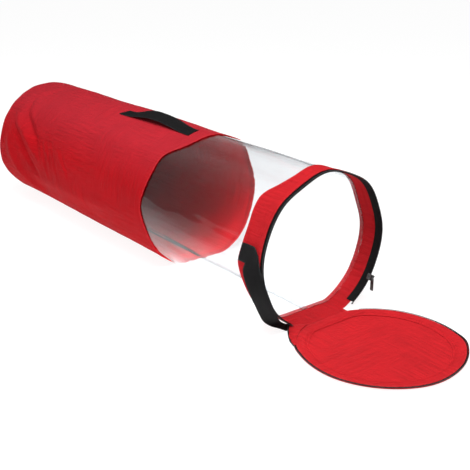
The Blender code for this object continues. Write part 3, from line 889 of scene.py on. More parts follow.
def makeSleeve():
    degrees = roundAngles(sleeve["columns"])
    seam = roundTable(bag["windowSeam"], degrees)
    rounding, wall = sleeve["rearRounding"], bag["fabric"]
    shares = np.linspace(0, 1, sleeve["stations"]) ** 0.97
    x = seam + np.outer(shares, sleeve["rearX"] + rounding - seam)
    turns = np.radians(np.linspace(0, 90, 7)[1:])
    tailX = [sleeve["rearX"] + rounding * (1 - math.sin(t)) for t in turns] + [sleeve["rearX"]]
    tailInset = [rounding * (1 - math.cos(t)) for t in turns] + [rounding + sleeve["rearHem"]]
    inset = np.vstack([np.zeros_like(x)] + [np.full_like(seam, value) for value in tailInset])
    x = np.vstack([x] + [np.full_like(seam, value) for value in tailX])
    grid = np.broadcast_to(degrees, x.shape)
    radius = outerRadius(x, grid, inset) + sleeveOffset(x, grid)
    rearward = smoothStep(0.0, rounding, inset)
    innerX = x + wall * rearward
    inner = bagPoints(innerX, grid, radius - wall * (1 - rearward * 0.999))
    rings = slumped(np.concatenate((bagPoints(x, grid, radius), inner[::-1])))
    uvs = clothUvs(np.concatenate((x, innerX[::-1])), np.append(degrees, 270.0))
    mesh = roundMesh("rearSleeve", rings, uvs, closed=True)
    rub = np.exp(-(((seam - x) / 0.0016) ** 2)) + np.exp(-(((inset - 0.006) / 0.004) ** 2)) * 0.7
    setPointValues(mesh, "edge", np.clip(np.concatenate((rub, np.zeros_like(rub))), 0, 1))
    addPiece("rearSleeve", mesh, sleeveRed, "bag", ["rear_sleeve"], liningRed)

    paths = []
    around = np.linspace(-50, 230, 260)
    for away in (0.0035, sleeve["hemWidth"] - 0.0045):
        line = roundTable(bag["windowSeam"], around) - away
        paths.append(bagPath(line, around, sleeveOffset(line, around)))
    row = rowMesh("sleeveHemStitches", paths, sleeve["stitchSpacing"], sleeve["stitchSize"], sleeveRed)
    addPiece("sleeveHemStitches", row, sleeveRed, "bag")


makeSleeve()
print("sleeve made")

# Round panel that closes the rear end

rearEnd = {
    "bulge": 0.0040,
    "wrinkle": 0.0012,
    "rings": 26,
    "columns": 160,
    "stitchAway": 0.0045,
    "stitchSize": (0.0026, 0.0005, 0.0006),
    "rimInset": 0.0163,
    "binding": [  # share of the way out to the rim, height of the tape
        (0.995, 0.0), (0.995, 0.0010), (0.95, 0.0013), (0.91, 0.0010), (0.905, 0.0),
    ],
}


def rearEndRim(degrees):
    return outerRadius(np.full_like(degrees, sleeve["rearX"]), degrees, rearEnd["rimInset"])


def rearEndX(share, points):
    # x of the panel's outer face: swollen in the middle, with wrinkles that die out at the rim
    swell = rearEnd["bulge"] * (1 - share**2.2)
    ripple = rearEnd["wrinkle"] * roll(points, (1, 0.05, 0.07), 5) * (1 - share**6)
    gather = 0.0006 * roll(points, (1, 0.014, 0.014), 6) * share**8
    return sleeve["rearX"] - swell - ripple - gather


def makeRearEnd():
    degrees = roundAngles(rearEnd["columns"])
    shares = 1 - np.linspace(0, 1, rearEnd["rings"] + 1)[:-1]
    radius = np.outer(shares, rearEndRim(degrees))
    grid = np.broadcast_to(degrees, radius.shape)
    outX = rearEndX(shares[:, None], bagPoints(np.zeros_like(radius), grid, radius))
    outer, inner = bagPoints(outX, grid, radius), bagPoints(outX + bag["fabric"], grid, radius)
    rings = slumped(np.concatenate((outer[::-1], inner)))
    flats = np.concatenate((rings, rings[:, :1]), axis=1)[..., 1:]
    middle = (0.0, bag["centreHeight"])
    tipX = float(rearEndX(0.0, np.array([[0.0, *middle]]))[0])
    tips = [((tipX, *middle), middle), ((tipX + bag["fabric"], *middle), middle)]
    mesh = roundMesh("rearEndPanel", rings, flats, centres=tips, flip=True)
    edge = np.concatenate((np.broadcast_to(shares[::-1, None] ** 30, grid.shape), np.zeros_like(radius)))
    setPointValues(mesh, "edge", np.append(edge.ravel(), (0, 0)))
    addPiece("rearEndPanel", mesh, sleeveRed, "bag", ["rear_end_panel"])

    around = roundAngles(200)
    share = 1 - rearEnd["stitchAway"] / rearEndRim(around)
    line = rearEndRim(around) * share
    x = rearEndX(share, bagPoints(np.zeros_like(around), around, line))
    out = np.tile((-1.0, 0.0, 0.0), (len(around), 1))
    path = (slumped(bagPoints(x, around, line)), out, True)
    row = rowMesh("rearEndStitches", [path], sleeve["stitchSpacing"], rearEnd["stitchSize"], sleeveRed)
    addPiece("rearEndStitches", row, sleeveRed, "bag")

    # tape over the raw edges inside the rear end
    rings = []
    for share, lift in rearEnd["binding"]:
        line = rearEndRim(degrees) * share
        x = rearEndX(share, bagPoints(np.zeros_like(degrees), degrees, line)) + bag["fabric"] + bag["gap"]
        rings.append(bagPoints(x + lift, degrees, line))
    arc = bag["radius"] * np.radians(np.append(degrees, 270.0))
    marks = np.array([[(v, 0.004 * k) for v in arc] for k in range(len(rings))])
    mesh = roundMesh("rearSeamBinding", slumped(rings), marks, closed=True, flip=True)
    addPiece("rearSeamBinding", mesh, zipTape, "bag", ["rear_seam_binding"])


makeRearEnd()
print("rear end made")

# Clear window

window = {"stations": 84, "columns": 216, "lap": 0.011, "ripple": 0.0009, "slack": 0.0018, "highest": 0.001}


def makeWindow():
    degrees = roundAngles(window["columns"])
    rear = roundTable(bag["windowSeam"], degrees) - window["lap"]
    front = roundTable(bag["bandEdge"], degrees) + window["lap"]
    shares = np.linspace(0, 1, window["stations"])
    x = front + np.outer(shares, rear - front)
    grid = np.broadcast_to(degrees, x.shape)
    points = bagPoints(x, grid, bag["radius"])
    free = np.sin(np.pi * shares)[:, None] ** 0.6
    ripple = window["ripple"] * roll(points, (0.07, 0.02, 0.02), 7)
    ripple = ripple + window["slack"] * roll(points, (0.35, 0.035, 0.035), 8)
    ripple = np.minimum(ripple * free, window["highest"]) * offFloor(grid)
    radius = outerRadius(x, grid) - bag["fabric"] - bag["gap"] + ripple
    mesh = tubeMesh("clearWindow", x, degrees, radius, bag["sheet"])
    addPiece("clearWindow", mesh, clearPvc, "bag", ["window_panel"])


makeWindow()
print("window made")

# Red band round the mouth

band = {
    "frontX": 0.5385,
    "stations": 40,
    "columns": 300,
    "rearHem": 0.012,
    "frontHem": 0.009,
    "hemRise": 0.0007,
    "wrinkle": 0.0006,
    "gather": 0.0003,
    "stitchSpacing": 0.0034,
    "stitchSize": (0.0024, 0.0005, 0.0005),
}


def bandOffset(x, degrees):
    points = bagPoints(x, degrees, bag["radius"])
    fromRear, fromFront = x - roundTable(bag["bandEdge"], degrees), band["frontX"] - x
    hem = 1 - smoothStep(band["rearHem"] - 0.0016, band["rearHem"], fromRear)
    hem = hem + 1 - smoothStep(band["frontHem"] - 0.0016, band["frontHem"], fromFront)
    wrinkle = band["wrinkle"] * roll(points, (0.03, 0.045, 0.045), 9)
    gather = band["gather"] * roll(points, (0.03, 0.01, 0.01), 10)
    return (band["hemRise"] * hem + wrinkle + gather) * offFloor(degrees)


def makeBand():
    degrees = roundAngles(band["columns"])
    rear = roundTable(bag["bandEdge"], degrees)
    x = band["frontX"] + np.outer(np.linspace(0, 1, band["stations"]), rear - band["frontX"])
    grid = np.broadcast_to(degrees, x.shape)
    mesh = tubeMesh("mouthBand", x, degrees, outerRadius(x, grid) + bandOffset(x, grid), bag["fabric"])
    rub = np.exp(-(((x - rear) / 0.0014) ** 2)) + np.exp(-(((band["frontX"] - x) / 0.0014) ** 2))
    setPointValues(mesh, "edge", np.concatenate((np.clip(rub, 0, 1), np.zeros_like(rub))))
    addPiece("mouthBand", mesh, bandRed, "bag", ["mouth_band"])

    around = np.linspace(-52, 232, 280)
    rearLine, frontLine = roundTable(bag["bandEdge"], around), np.full_like(around, band["frontX"] - 0.0028)
    lines = (rearLine + 0.003, rearLine + band["rearHem"] - 0.003, frontLine)
    paths = [bagPath(line, around, bandOffset(line, around)) for line in lines]
    row = rowMesh("bandStitches", paths, band["stitchSpacing"], band["stitchSize"], bandRed)
    addPiece("bandStitches", row, bandRed, "bag")


makeBand()
print("mouth band made")

# Zipper: tape and coil on the mouth

zipper = {
    "fromDegrees": -58.0,
    "toDegrees": 238.0,
    "tapeRear": 0.528,
    "tapeThickness": 0.001,
    "teethX": 0.544,
    "teethEndX": 0.5464,
    "teethInner": 0.0012,  # below the bag's face
    "teethOuter": 0.0006,  # above it
    "toothWidth": 0.0015,
    "overhang": 0.0003,
    "stopSpan": (0.12, 1.72),  # degrees beyond the last tooth
    "stopProud": 0.0005,
    "stopWider": 0.0002,
    "pitch": 0.0019,
    "unevenness": 0.02,
}


def sectorAngles(count):
    return np.linspace(zipper["fromDegrees"], zipper["toDegrees"], count)


def coilMesh(name, path, across, height):
    size = (zipper["toothWidth"], across, height)
    return rowMesh(name, [path], zipper["pitch"], size, toothBlack, zipper["unevenness"])


def makeMouthZip():
    gap = bag["fabric"] + bag["gap"]
    xs = np.linspace(zipper["tapeRear"], zipper["teethEndX"], 8)
    loop = [(x, gap) for x in xs] + [(x, gap + zipper["tapeThickness"]) for x in xs[::-1]]
    sections = []
    for angle in sectorAngles(260):
        radii = [float(outerRadius(np.array(x), np.array(angle))) - inset for x, inset in loop]
        sections.append([bagPoints(x, angle, r).tolist() for (x, _), r in zip(loop, radii)])
    mesh = barMesh("mouthZipTape", sections)
    addPiece("mouthZipTape", mesh, zipTape, "bag", ["mouth_zip_tape"])

    middle = (zipper["teethX"] + zipper["teethEndX"]) / 2
    path = bagPath(middle, sectorAngles(500), (zipper["teethOuter"] - zipper["teethInner"]) / 2)
    across = zipper["teethEndX"] - zipper["teethX"] + zipper["overhang"]
    row = coilMesh("mouthZipCoil", path, across, zipper["teethOuter"] + zipper["teethInner"])
    addPiece("mouthZipCoil", row, toothBlack, "bag", ["mouth_zip_teeth"])


makeMouthZip()
print("mouth zipper made")

# Flat seams along the underside, inside the sleeve and the window

underSeam = {
    "sleeve": (-0.525, 0.1540, 0.0008),  # rear end, front end, thickness
    "window": (0.1545, 0.4970, 0.0010),
    "half": 0.006,
    "stations": 120,
    "sway": (0.0005, 0.0003),
    "ripple": 0.00012,
    "crown": 0.0004,
}


def makeUndersideSeam(name, part, z, material, node):
    (low, high, thick), half = underSeam[part], underSeam["half"]
    broad, fine = underSeam["sway"]
    sections, across = [], np.linspace(-half, half, 7)
    for x in np.linspace(low, high, underSeam["stations"]):
        sway = broad * math.sin(x * 61) + fine * math.sin(x * 173)
        lift = underSeam["ripple"] * math.sin(x * 240)
        upper = [(x, y + sway, z + (thick + lift - underSeam["crown"] * (y / half) ** 4)) for y in across]
        sections.append([(x, half + sway, z), (x, -half + sway, z)] + upper)
    addPiece(name, barMesh(name, np.array(sections)[:, ::-1]), material, "bag", [node])


onSleeve = bag["fabric"] + bag["gap"]
onWindow = onSleeve + bag["sheet"] + bag["gap"]
makeUndersideSeam("sleeveSeamBinding", "sleeve", onSleeve, zipTape, "sleeve_seam_binding")
makeUndersideSeam("windowSeamStrip", "window", onWindow, clearPvc, "window_seam_strip")

# Zipper slider with its arch and pull, and the stops at both ends of the run

slider = {
    "degrees": 215.0,
    "x": (0.5396, 0.5531),
    "halfLength": 0.006,
    "narrowing": 0.0016,  # the rear end is narrower than the end where the rows part
    "outerPlate": (0.1514, 0.1529),
    "innerPlate": (0.1457, 0.1472),
    "postX": 0.5476,
    "postHalf": 0.0007,
    "postFront": 0.0045,
    "plateCorner": 0.0024,
    "innerCorner": 0.0018,
    "lip": 0.0011,
    "lipClear": (0.0022, 0.003),  # of the plate's two ends
    "pivotRadius": 0.1546,
    "archRadius": 0.00194,
    "archHalf": 0.00065,
    "archWidth": 0.0024,
    "pullLength": 0.0260,
    "pullHalf": 0.0040,
    "pullThickness": 0.0014,
    "eyeHalf": 0.0017,
    "eyeLength": 0.0036,
    "pullCorner": 0.0021,
    "grips": 6,
    "gripFrom": 0.0040,
    "gripWidth": 0.0009,
    "gripSide": 0.0012,  # left plain beside the grips
    "gripPitch": 0.0019,
}


def turnedTo(degrees):
    return Matrix.Translation((0, 0, bag["centreHeight"])) @ Matrix.Rotation(math.radians(90 - degrees), 4, "X")


def roundedOutline(corners, radius, steps=5):
    # a closed outline whose corners are rounded off
    points = []
    for k, corner in enumerate(corners):
        corner = Vector(corner)
        before = (Vector(corners[k - 1]) - corner).normalized()
        after = (Vector(corners[(k + 1) % len(corners)]) - corner).normalized()
        reach = radius / math.tan(before.angle(after) / 2)
        start, end = corner + before * reach, corner + after * reach
        for step in range(steps + 1):
            t = step / steps
            points.append(start * (1 - t) ** 2 + corner * 2 * t * (1 - t) + end * t**2)
    return [(p.x, p.y) for p in points]


def boxOutline(half, top, bottom):
    return [(-half, top), (half, top), (half, bottom), (-half, bottom)]


def cutPlate(name, outlines, low, high, place, bevel=0.0003):
    # a flat outline with holes, given a thickness and soft edges
    curve = bpy.data.curves.new(name, "CURVE")
    curve.dimensions = "2D"
    curve.fill_mode = "BOTH"
    curve.extrude = (high - low) / 2
    for outline in outlines:
        spline = curve.splines.new("POLY")
        spline.points.add(len(outline) - 1)
        for point, (u, v) in zip(spline.points, outline):
            point.co = (u, v, 0, 1)
        spline.use_cyclic_u = True
    carrier = addObject(name, curve)
    mesh = evaluatedMesh(carrier)
    bpy.data.objects.remove(carrier)
    shape = bmesh.new()
    shape.from_mesh(mesh)
    bmesh.ops.remove_doubles(shape, verts=shape.verts, dist=1e-6)
    bmesh.ops.recalc_face_normals(shape, faces=shape.faces)
    rims = [e for e in shape.edges if len(e.link_faces) == 2 and e.calc_face_angle() > 1.2]
    flats = {e for e in rims if abs(e.verts[0].co.z - e.verts[1].co.z) < 1e-6}
    bmesh.ops.bevel(shape, geom=list(flats), offset=bevel, segments=2, affect="EDGES", profile=0.5)
    bmesh.ops.translate(shape, verts=shape.verts, vec=(0, 0, (low + high) / 2))
    bmesh.ops.transform(shape, matrix=place, verts=shape.verts)
    shape.to_mesh(mesh)
    worn = [max((e.calc_face_angle(0) for e in v.link_edges), default=0) > 0.35 for v in shape.verts]
    shape.free()
    mesh.shade_smooth()
    mesh.set_sharp_from_angle(angle=math.radians(50))
    setPointValues(mesh, "edge", worn)
    return mesh


def joinMeshes(name, meshes):
    shape = bmesh.new()
    for mesh in meshes:
        shape.from_mesh(mesh)
    joined = bpy.data.meshes.new(name)
    shape.to_mesh(joined)
    shape.free()
    joined.shade_smooth()
    joined.set_sharp_from_angle(angle=math.radians(50))
    return joined


def makeSliderBody(place):
    low, high = slider["x"]
    half, narrow, lip = slider["halfLength"], slider["narrowing"], slider["lip"]
    post, postHalf = slider["postX"], slider["postHalf"]
    inside, outside = slider["innerPlate"], slider["outerPlate"]
    plate = [(low, -half), (high, -half), (high - narrow, half), (low + narrow, half)]
    # the inner plate ends at the post, so that the shut lid passes in front of it
    short = [(low, -half), (post + postHalf, -half), (post + postHalf, half), (low + narrow, half)]
    wedge = [(post - postHalf, 0.0), (post, slider["postFront"]), (post + postHalf, 0.0)]
    wedge.append((post, -half + 0.0004))
    lips, lower, upper = [], slider["lipClear"][0] - half, half - slider["lipClear"][1]
    for side, step in ((low + 0.0004, lip), (high - 0.0004, -lip)):
        strip = [(side, lower), (side + step, lower), (side + step, upper), (side, upper)]
        strip = strip if step > 0 else strip[::-1]
        lips.append(cutPlate("lip", [strip], outside[0] - 0.0005, outside[0] + 0.0002, place, 0.0001))
    pieces = [
        cutPlate("outerPlate", [roundedOutline(plate, slider["plateCorner"])], *outside, place),
        cutPlate("innerPlate", [roundedOutline(short, slider["innerCorner"])], *inside, place),
        cutPlate("post", [wedge], inside[1] - 0.0003, outside[0] + 0.0003, place, 0.0001),
    ]
    mesh = joinMeshes("sliderBody", pieces + lips)
    addPiece("sliderBody", mesh, sliderBlack, "zip_slider", ["zip_slider"])


def makeSliderArch(place):
    # the arch that the pull hangs in
    radius, thick, width = slider["archRadius"], slider["archHalf"], slider["archWidth"] / 2
    foot = slider["outerPlate"][1] - slider["pivotRadius"] - 0.0002
    line = [(-radius, foot), (-radius, foot / 2)]
    line += [(-radius * math.cos(t), radius * math.sin(t)) for t in np.linspace(0, math.pi, 13)]
    line = np.array(line + [(radius, foot / 2), (radius, foot)])
    run = np.gradient(line, axis=0)
    run /= np.linalg.norm(run, axis=1)[:, None]
    sections = []
    for (y, z), (dy, dz) in zip(line, run):
        section = []
        for t in np.linspace(0, 2 * math.pi, 12, endpoint=False):
            wide = width * math.copysign(abs(math.cos(t)) ** 0.6, math.cos(t))
            out = thick * math.copysign(abs(math.sin(t)) ** 0.8, math.sin(t))
            local = Vector((slider["postX"] + wide, y - dz * out, slider["pivotRadius"] + z + dy * out))
            section.append(tuple(place @ local))
        sections.append(section)
    mesh = barMesh("sliderArch", np.array(sections)[:, ::-1], 60)
    setPointValues(mesh, "edge", np.full(len(mesh.vertices), 0.5))
    addPiece("sliderArch", mesh, sliderBlack, "zip_slider", ["slider_crown"])


def makePull():
    # the pull hangs straight down from its bar
    turn, reach = math.radians(slider["degrees"]), slider["pivotRadius"]
    pivot = Vector((slider["postX"], -reach * math.cos(turn), bag["centreHeight"] + reach * math.sin(turn)))
    upright = Matrix.Translation(pivot) @ Matrix.Rotation(math.radians(90), 4, "X")
    half, length, thick = slider["pullHalf"], slider["pullLength"], slider["pullThickness"] / 2
    outline = roundedOutline(boxOutline(half, thick, -length), slider["pullCorner"], 6)
    eye = roundedOutline(boxOutline(slider["eyeHalf"], -thick, -thick - slider["eyeLength"]), 0.0005, 4)
    blank = cutPlate("pullBlank", [outline, eye], -thick, thick, upright, 0.00035)
    grips = []
    for k in range(slider["grips"]):
        y = -length + slider["gripFrom"] + slider["gripPitch"] * k
        bar = roundedOutline(boxOutline(half - slider["gripSide"], y, y - slider["gripWidth"]), 0.0003, 2)
        for side in (-1, 1):
            grips.append(cutPlate("grip", [bar], side * thick - 0.0002, side * thick + 0.0002, upright, 0.0001))
    mesh = joinMeshes("zipPull", [blank] + grips)
    addPiece("zipPull", mesh, sliderBlack, "zip_pull", ["zip_pull"])


def makeStop(name, start, end, node):
    inner, outer = zipper["teethInner"], zipper["teethOuter"] + zipper["stopProud"]
    low, high = zipper["teethX"] - zipper["stopWider"], zipper["teethEndX"] + zipper["stopWider"]
    sections = []
    for t in np.linspace(-1, 1, 9):
        swell = max(1 - abs(t) ** 5, 0.25) ** 0.5
        angle = (start + end) / 2 + (end - start) / 2 * t
        face = float(outerRadius(np.array(0.545), np.array(angle)))
        section = []
        for turn in np.linspace(0, 2 * math.pi, 16, endpoint=False):
            a, b = math.cos(turn), math.sin(turn)
            x = (low + high) / 2 + (high - low) / 2 * swell * math.copysign(abs(a) ** 0.5, a)
            r = face + (outer - inner) / 2 + (outer + inner) / 2 * swell * math.copysign(abs(b) ** 0.5, b)
            section.append(bagPoints(x, angle, r).tolist())
        sections.append(section)
    mesh = barMesh(name, np.array(sections)[:, ::-1], 50)
    setPointValues(mesh, "edge", np.full(len(mesh.vertices), 0.4))
    addPiece(name, mesh, sliderBlack, "bag", [node])


makeSliderBody(turnedTo(slider["degrees"]))
makeSliderArch(turnedTo(slider["degrees"]))
makePull()
stopStart, stopEnd = zipper["stopSpan"]
makeStop("zipStopNear", zipper["fromDegrees"] - stopEnd, zipper["fromDegrees"] - stopStart, "zip_stop_near")
makeStop("zipStopFar", zipper["toDegrees"] + stopStart, zipper["toDegrees"] + stopEnd, "zip_stop_far")
print("slider, pull and stops made")

# Lid, lying open in front of the mouth with its lining up

lid = {
    "centreX": 0.6895,
    "columns": 240,
    "outline": [  # angle as on the closed bag, radius
        (-90, 0.150), (-67, 0.1500), (-58, 0.1500), (-47, 0.1500), (-38, 0.1502), (-27, 0.1474), (-12, 0.1462),
        (14, 0.1468), (33, 0.1464), (53, 0.1462), (76, 0.1480), (104, 0.1475), (125, 0.1500), (135, 0.1508),
        (180, 0.1495), (215, 0.1495), (247, 0.150),
    ],
    "rise": [  # angle, how far the rim curls up
        (-90, 0.0), (-67, 0.0), (-46, 0.0), (-36, 0.0008), (-22, 0.0028), (0, 0.0034), (33, 0.0036),
        (64, 0.0032), (90, 0.0034), (112, 0.0042), (128, 0.0066), (142, 0.0090), (156, 0.0048),
        (180, 0.0022), (215, 0.0016), (240, 0.0004), (255, 0.0),
    ],
    "closedShare": 0.45,  # how much of its height is left when the lid shuts
    "softness": 0.004,
    "border": 0.023,
    "facingInset": 0.0032,
    "facing": [  # share of the facing's width, height
        (0.0, 0.0), (0.04, 0.0011), (0.16, 0.0016), (0.45, 0.0017), (0.80, 0.0012), (0.93, 0.0004), (1.0, -0.0006),
    ],
    "hingeBorder": 0.0215,
    "weltWidth": 0.0042,
    "weltHeight": 0.0015,
    "tapeZ": 0.0015,
    "tapeInsets": (0.0015, 0.012),
    "coilInset": 0.0003,
    "coilHeight": 0.0018,
    "stitchInsets": (0.0062, 0.0195),
    "stitchLift": 0.0015,
    "facingZ": 0.0028,
    "depth": 0.0039,
    "ripple": 0.0012,
}


def lidRadius(degrees, inset=0.0, hingeInset=0.0):
    ring = roundTable(lid["outline"], degrees) - inset
    return softMinimum(levelRadius(degrees, bag["centreHeight"] - hingeInset), ring, lid["softness"])


def lidPoints(degrees, radius, z):
    turn = np.radians(degrees)
    x = lid["centreX"] + radius * np.sin(turn)
    return np.stack(np.broadcast_arrays(x, -radius * np.cos(turn), z), axis=-1)


def lidRipple(points):
    away = np.hypot(points[..., 0] - lid["centreX"], points[..., 1])
    calm = smoothStep(0.13, 0.105, away) * smoothStep(0.56, 0.60, points[..., 0])
    return lid["ripple"] * (0.5 + 0.5 * roll(points, (0.07, 0.05, 1.0), 11)) * calm


def lidLift(points):
    # the rim curls up off the floor, most at the far right corner
    away = np.hypot(points[..., 0] - lid["centreX"], points[..., 1])
    turn = np.degrees(np.arctan2(points[..., 0] - lid["centreX"], -points[..., 1]))
    share = away / lidRadius(turn)
    return roundTable(lid["rise"], turn) * np.clip((share - 0.80) / 0.20, 0, 1.05) ** 1.6


def lifted(points):
    points = np.array(points, float)
    points[..., 2] += lidLift(points)
    return points


def addLidPiece(name, mesh, material, nodes=()):
    piece = addPiece(name, mesh, material, "lid", nodes)
    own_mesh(piece)


def lidUvs(rings):
    return np.concatenate((rings, rings[:, :1]), axis=1)[..., :2]


def makeLidPanel(degrees):
    shares = np.concatenate((np.linspace(0.04, 0.80, 24), np.linspace(0.82, 1.0, 12)))
    radius = np.outer(shares, lidRadius(degrees))
    grid = np.broadcast_to(degrees, radius.shape)
    flat = lidPoints(grid, radius, np.zeros_like(radius))
    rise, lift = lidRipple(flat), lidLift(flat)
    top, bottom = flat.copy(), flat.copy()
    top[..., 2] = bag["fabric"] + rise + lift
    bottom[..., 2] = rise * 0.6 + lift
    rings = np.concatenate((top, bottom[::-1]))
    centre = (lid["centreX"], 0.0)
    middle = lidRipple(np.array([[*centre, 0.0]]))[0]
    tips = [((*centre, bag["fabric"] + middle), centre), ((*centre, middle * 0.6), centre)]
    mesh = roundMesh("lidPanel", rings, lidUvs(rings), centres=tips)
    setPointValues(mesh, "edge", np.zeros(len(mesh.vertices)))
    addLidPiece("lidPanel", mesh, lidRed, ["lid_panel"])


def makeLidFacing(degrees):
    width, hinge = lid["border"] - lid["facingInset"], bag["fabric"] + bag["gap"]
    thick = bag["fabric"]
    section = lid["facing"] + [(share, max(height - thick, -thick)) for share, height in lid["facing"][:0:-1]]
    rings = []
    for share, height in section:
        inset = lid["facingInset"] + width * share
        low = lidRadius(degrees, inset, hinge + (lid["hingeBorder"] - hinge) * share)
        rings.append(lidPoints(degrees, low, np.full_like(degrees, lid["facingZ"] + height)))
    rings = lifted(rings)
    mesh = roundMesh("lidFacing", rings, lidUvs(rings), closed=True, flip=True)
    setPointValues(mesh, "edge", np.repeat([1.0 if share < 0.05 else 0.0 for share, _ in section], len(degrees)))
    addLidPiece("lidFacing", mesh, lidRed, ["lid_facing"])

    rings = []
    for turn in np.radians(np.linspace(0, 360, 10, endpoint=False)):
        inset = lid["border"] - 0.0006 + lid["weltWidth"] * (0.5 - 0.5 * math.cos(turn))
        z = hinge + lid["weltHeight"] * (0.5 + 0.5 * math.sin(turn))
        radius = lidRadius(degrees, inset, lid["hingeBorder"] + inset - lid["border"])
        rings.append(lidPoints(degrees, radius, np.full_like(degrees, z)))
    rings = lifted(rings)
    mesh = roundMesh("lidSeamWelt", rings, lidUvs(rings), closed=True, flip=True)
    addLidPiece("lidSeamWelt", mesh, lidRed, ["lid_seam_welt"])


def makeLidZip():
    sections = []
    for angle in sectorAngles(260):
        rim = float(lidRadius(np.array(angle)))
        (outer, inner), thick = (rim - inset for inset in lid["tapeInsets"]), zipper["tapeThickness"]
        loop = [(outer, 0.0), (inner, 0.0), (inner, thick), (outer, thick)]
        sections.append([lidPoints(angle, r, lid["tapeZ"] + z).tolist() for r, z in loop])
    addLidPiece("lidZipTape", barMesh("lidZipTape", lifted(sections)), zipTape, ["lid_zip_tape"])

    around = sectorAngles(500)
    line = lidPoints(around, lidRadius(around) - lid["coilInset"], (lid["tapeZ"] + lid["depth"]) / 2)
    out = lidPoints(around, 1.0, 0.0) - np.array((lid["centreX"], 0, 0))
    across = lid["depth"] - lid["tapeZ"] + zipper["overhang"]
    row = coilMesh("lidZipCoil", (lifted(line), out, False), across, lid["coilHeight"])
    addLidPiece("lidZipCoil", row, toothBlack, ["lid_zip_teeth"])


def makeLidStitches():
    around = np.linspace(-60, 240, 300)
    up = np.tile((0.0, 0.0, 1.0), (len(around), 1))
    paths = []
    for inset in lid["stitchInsets"]:
        line = lidPoints(around, lidRadius(around, inset), lid["facingZ"] + lid["stitchLift"])
        paths.append((lifted(line), up, False))
    row = rowMesh("lidStitches", paths, band["stitchSpacing"], band["stitchSize"], lidRed)
    addLidPiece("lidStitches", row, lidRed)


makeLidPanel(roundAngles(lid["columns"]))
makeLidFacing(roundAngles(lid["columns"]))
makeLidZip()
makeLidStitches()
print("lid made")

# Fabric hinge between the band's underside and the lid

hinge = {
    "rear": 0.5363,
    "front": 0.5518,
    "half": 0.0583,
    "underside": 0.0002,
    "proud": 0.0004,
    "wave": 0.0003,
    "blendFrom": 0.5440,
    "blendTo": 0.5600,
}


def makeHinge():
    xs = np.linspace(hinge["rear"], hinge["front"], 14)
    ys = np.linspace(-hinge["half"], hinge["half"], 41)
    sections = []
    for x in xs:
        waves = [hinge["wave"] * abs(math.sin(y * 160 + x * 40)) for y in ys]
        upper = [(x, y, bag["fabric"] + hinge["proud"] + wave) for y, wave in zip(ys, waves)]
        sections.append(upper + [(x, y, hinge["underside"]) for y in ys[::-1]])
    piece = addPiece("hingeFlap", barMesh("hingeFlap", sections), bandRed, None, ["hinge_flap"])
    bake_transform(piece)


makeHinge()
print("hinge made")

# The lid's loose near corner, which reaches to the start of the zipper; only its open lie is built, not its tuck when
# the lid shuts

lidCorner = {
    "edge": [  # share of the way from the mouth's rim to the lid's rim, x, y, z
        (0.00, 0.5375, -0.0560, 0.0026), (0.08, 0.5372, -0.0645, 0.0050), (0.16, 0.5378, -0.0725, 0.0088),
        (0.24, 0.5396, -0.0792, 0.0112), (0.31, 0.5420, -0.0845, 0.0086), (0.38, 0.5460, -0.0888, 0.0045),
        (0.45, 0.5500, -0.0918, 0.0025), (0.54, 0.5562, -0.0966, 0.0018), (0.63, 0.5624, -0.1012, 0.0018),
        (0.72, 0.5704, -0.1066, 0.0020), (0.81, 0.5784, -0.1117, 0.0024), (0.90, 0.5870, -0.1152, 0.0028),
        (1.00, 0.5965, -0.1186, 0.0030),
    ],
    "fromDegrees": -71.0,
    "toDegrees": -38.0,
    "lapRadius": 0.1462,
    "lapHeight": 0.0052,
    "thickness": 0.0009,
    "foldDegrees": -57.0,
    "foldRadius": 0.1405,
    "foldedShare": 0.06,
    "wave": 0.0004,
    "coilAcross": 0.0026,
}


def addCornerPiece(name, mesh, material):
    piece = addPiece(name, mesh, material, "lid")
    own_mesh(piece)


def makeLidCorner():
    shares = np.linspace(0, 1, 60)
    edge = np.stack(shortTable(lidCorner["edge"], shares), axis=-1)
    degrees = lidCorner["fromDegrees"] + shares * (lidCorner["toDegrees"] - lidCorner["fromDegrees"])
    lap = lidPoints(degrees, lidCorner["lapRadius"], lidCorner["lapHeight"])
    across = np.linspace(0, 1, 9)
    sections = []
    for inside, outside in zip(lap, edge):
        top = inside + (outside - inside) * across[:, None]
        top[:, 2] = inside[2] + (outside[2] - inside[2]) * across**2
        top[:, 2] += lidCorner["wave"] * np.sin(across * 7 + outside[1] * 300)
        low = top - np.array((0, 0, lidCorner["thickness"]))
        sections.append(np.concatenate((top, low[::-1])))
    mesh = barMesh("lidCorner", np.array(sections)[:, ::-1])
    addCornerPiece("lidCorner", mesh, lidRed)

    # the zipper's tape and teeth along the part of the edge that lies on the floor
    inward = lap - edge
    inward[:, 2] = 0
    inward /= np.linalg.norm(inward, axis=1)[:, None]
    up, tape = np.array((0, 0, 1.0)), slice(13, None)
    section = ((-0.0006, -0.0012), (0.0022, -0.0012), (0.0022, 0.0006), (-0.0006, 0.0006))
    bars = np.stack([edge + inward * aside + up * lift for aside, lift in section], axis=1)[tape]
    addCornerPiece("lidCornerTape", barMesh("lidCornerTape", bars), zipTape)
    path = (edge[tape] + up * 0.0002, -inward[tape], False)
    row = coilMesh("lidCornerCoil", path, lidCorner["coilAcross"], lid["coilHeight"])
    addCornerPiece("lidCornerCoil", row, toothBlack)


makeLidCorner()
print("lid corner made")

# Webbing handles

webbing = {
    "thickness": 0.0018,
    "selvedge": 0.0003,
    "acrossSteps": 10,
    "stitchSpacing": 0.0031,
    "stitchSize": (0.0023, 0.0006, 0.0005),
}


def unitNormals(along, across):
    normal = np.cross(along, across)
    return normal / np.linalg.norm(normal, axis=1)[:, None]


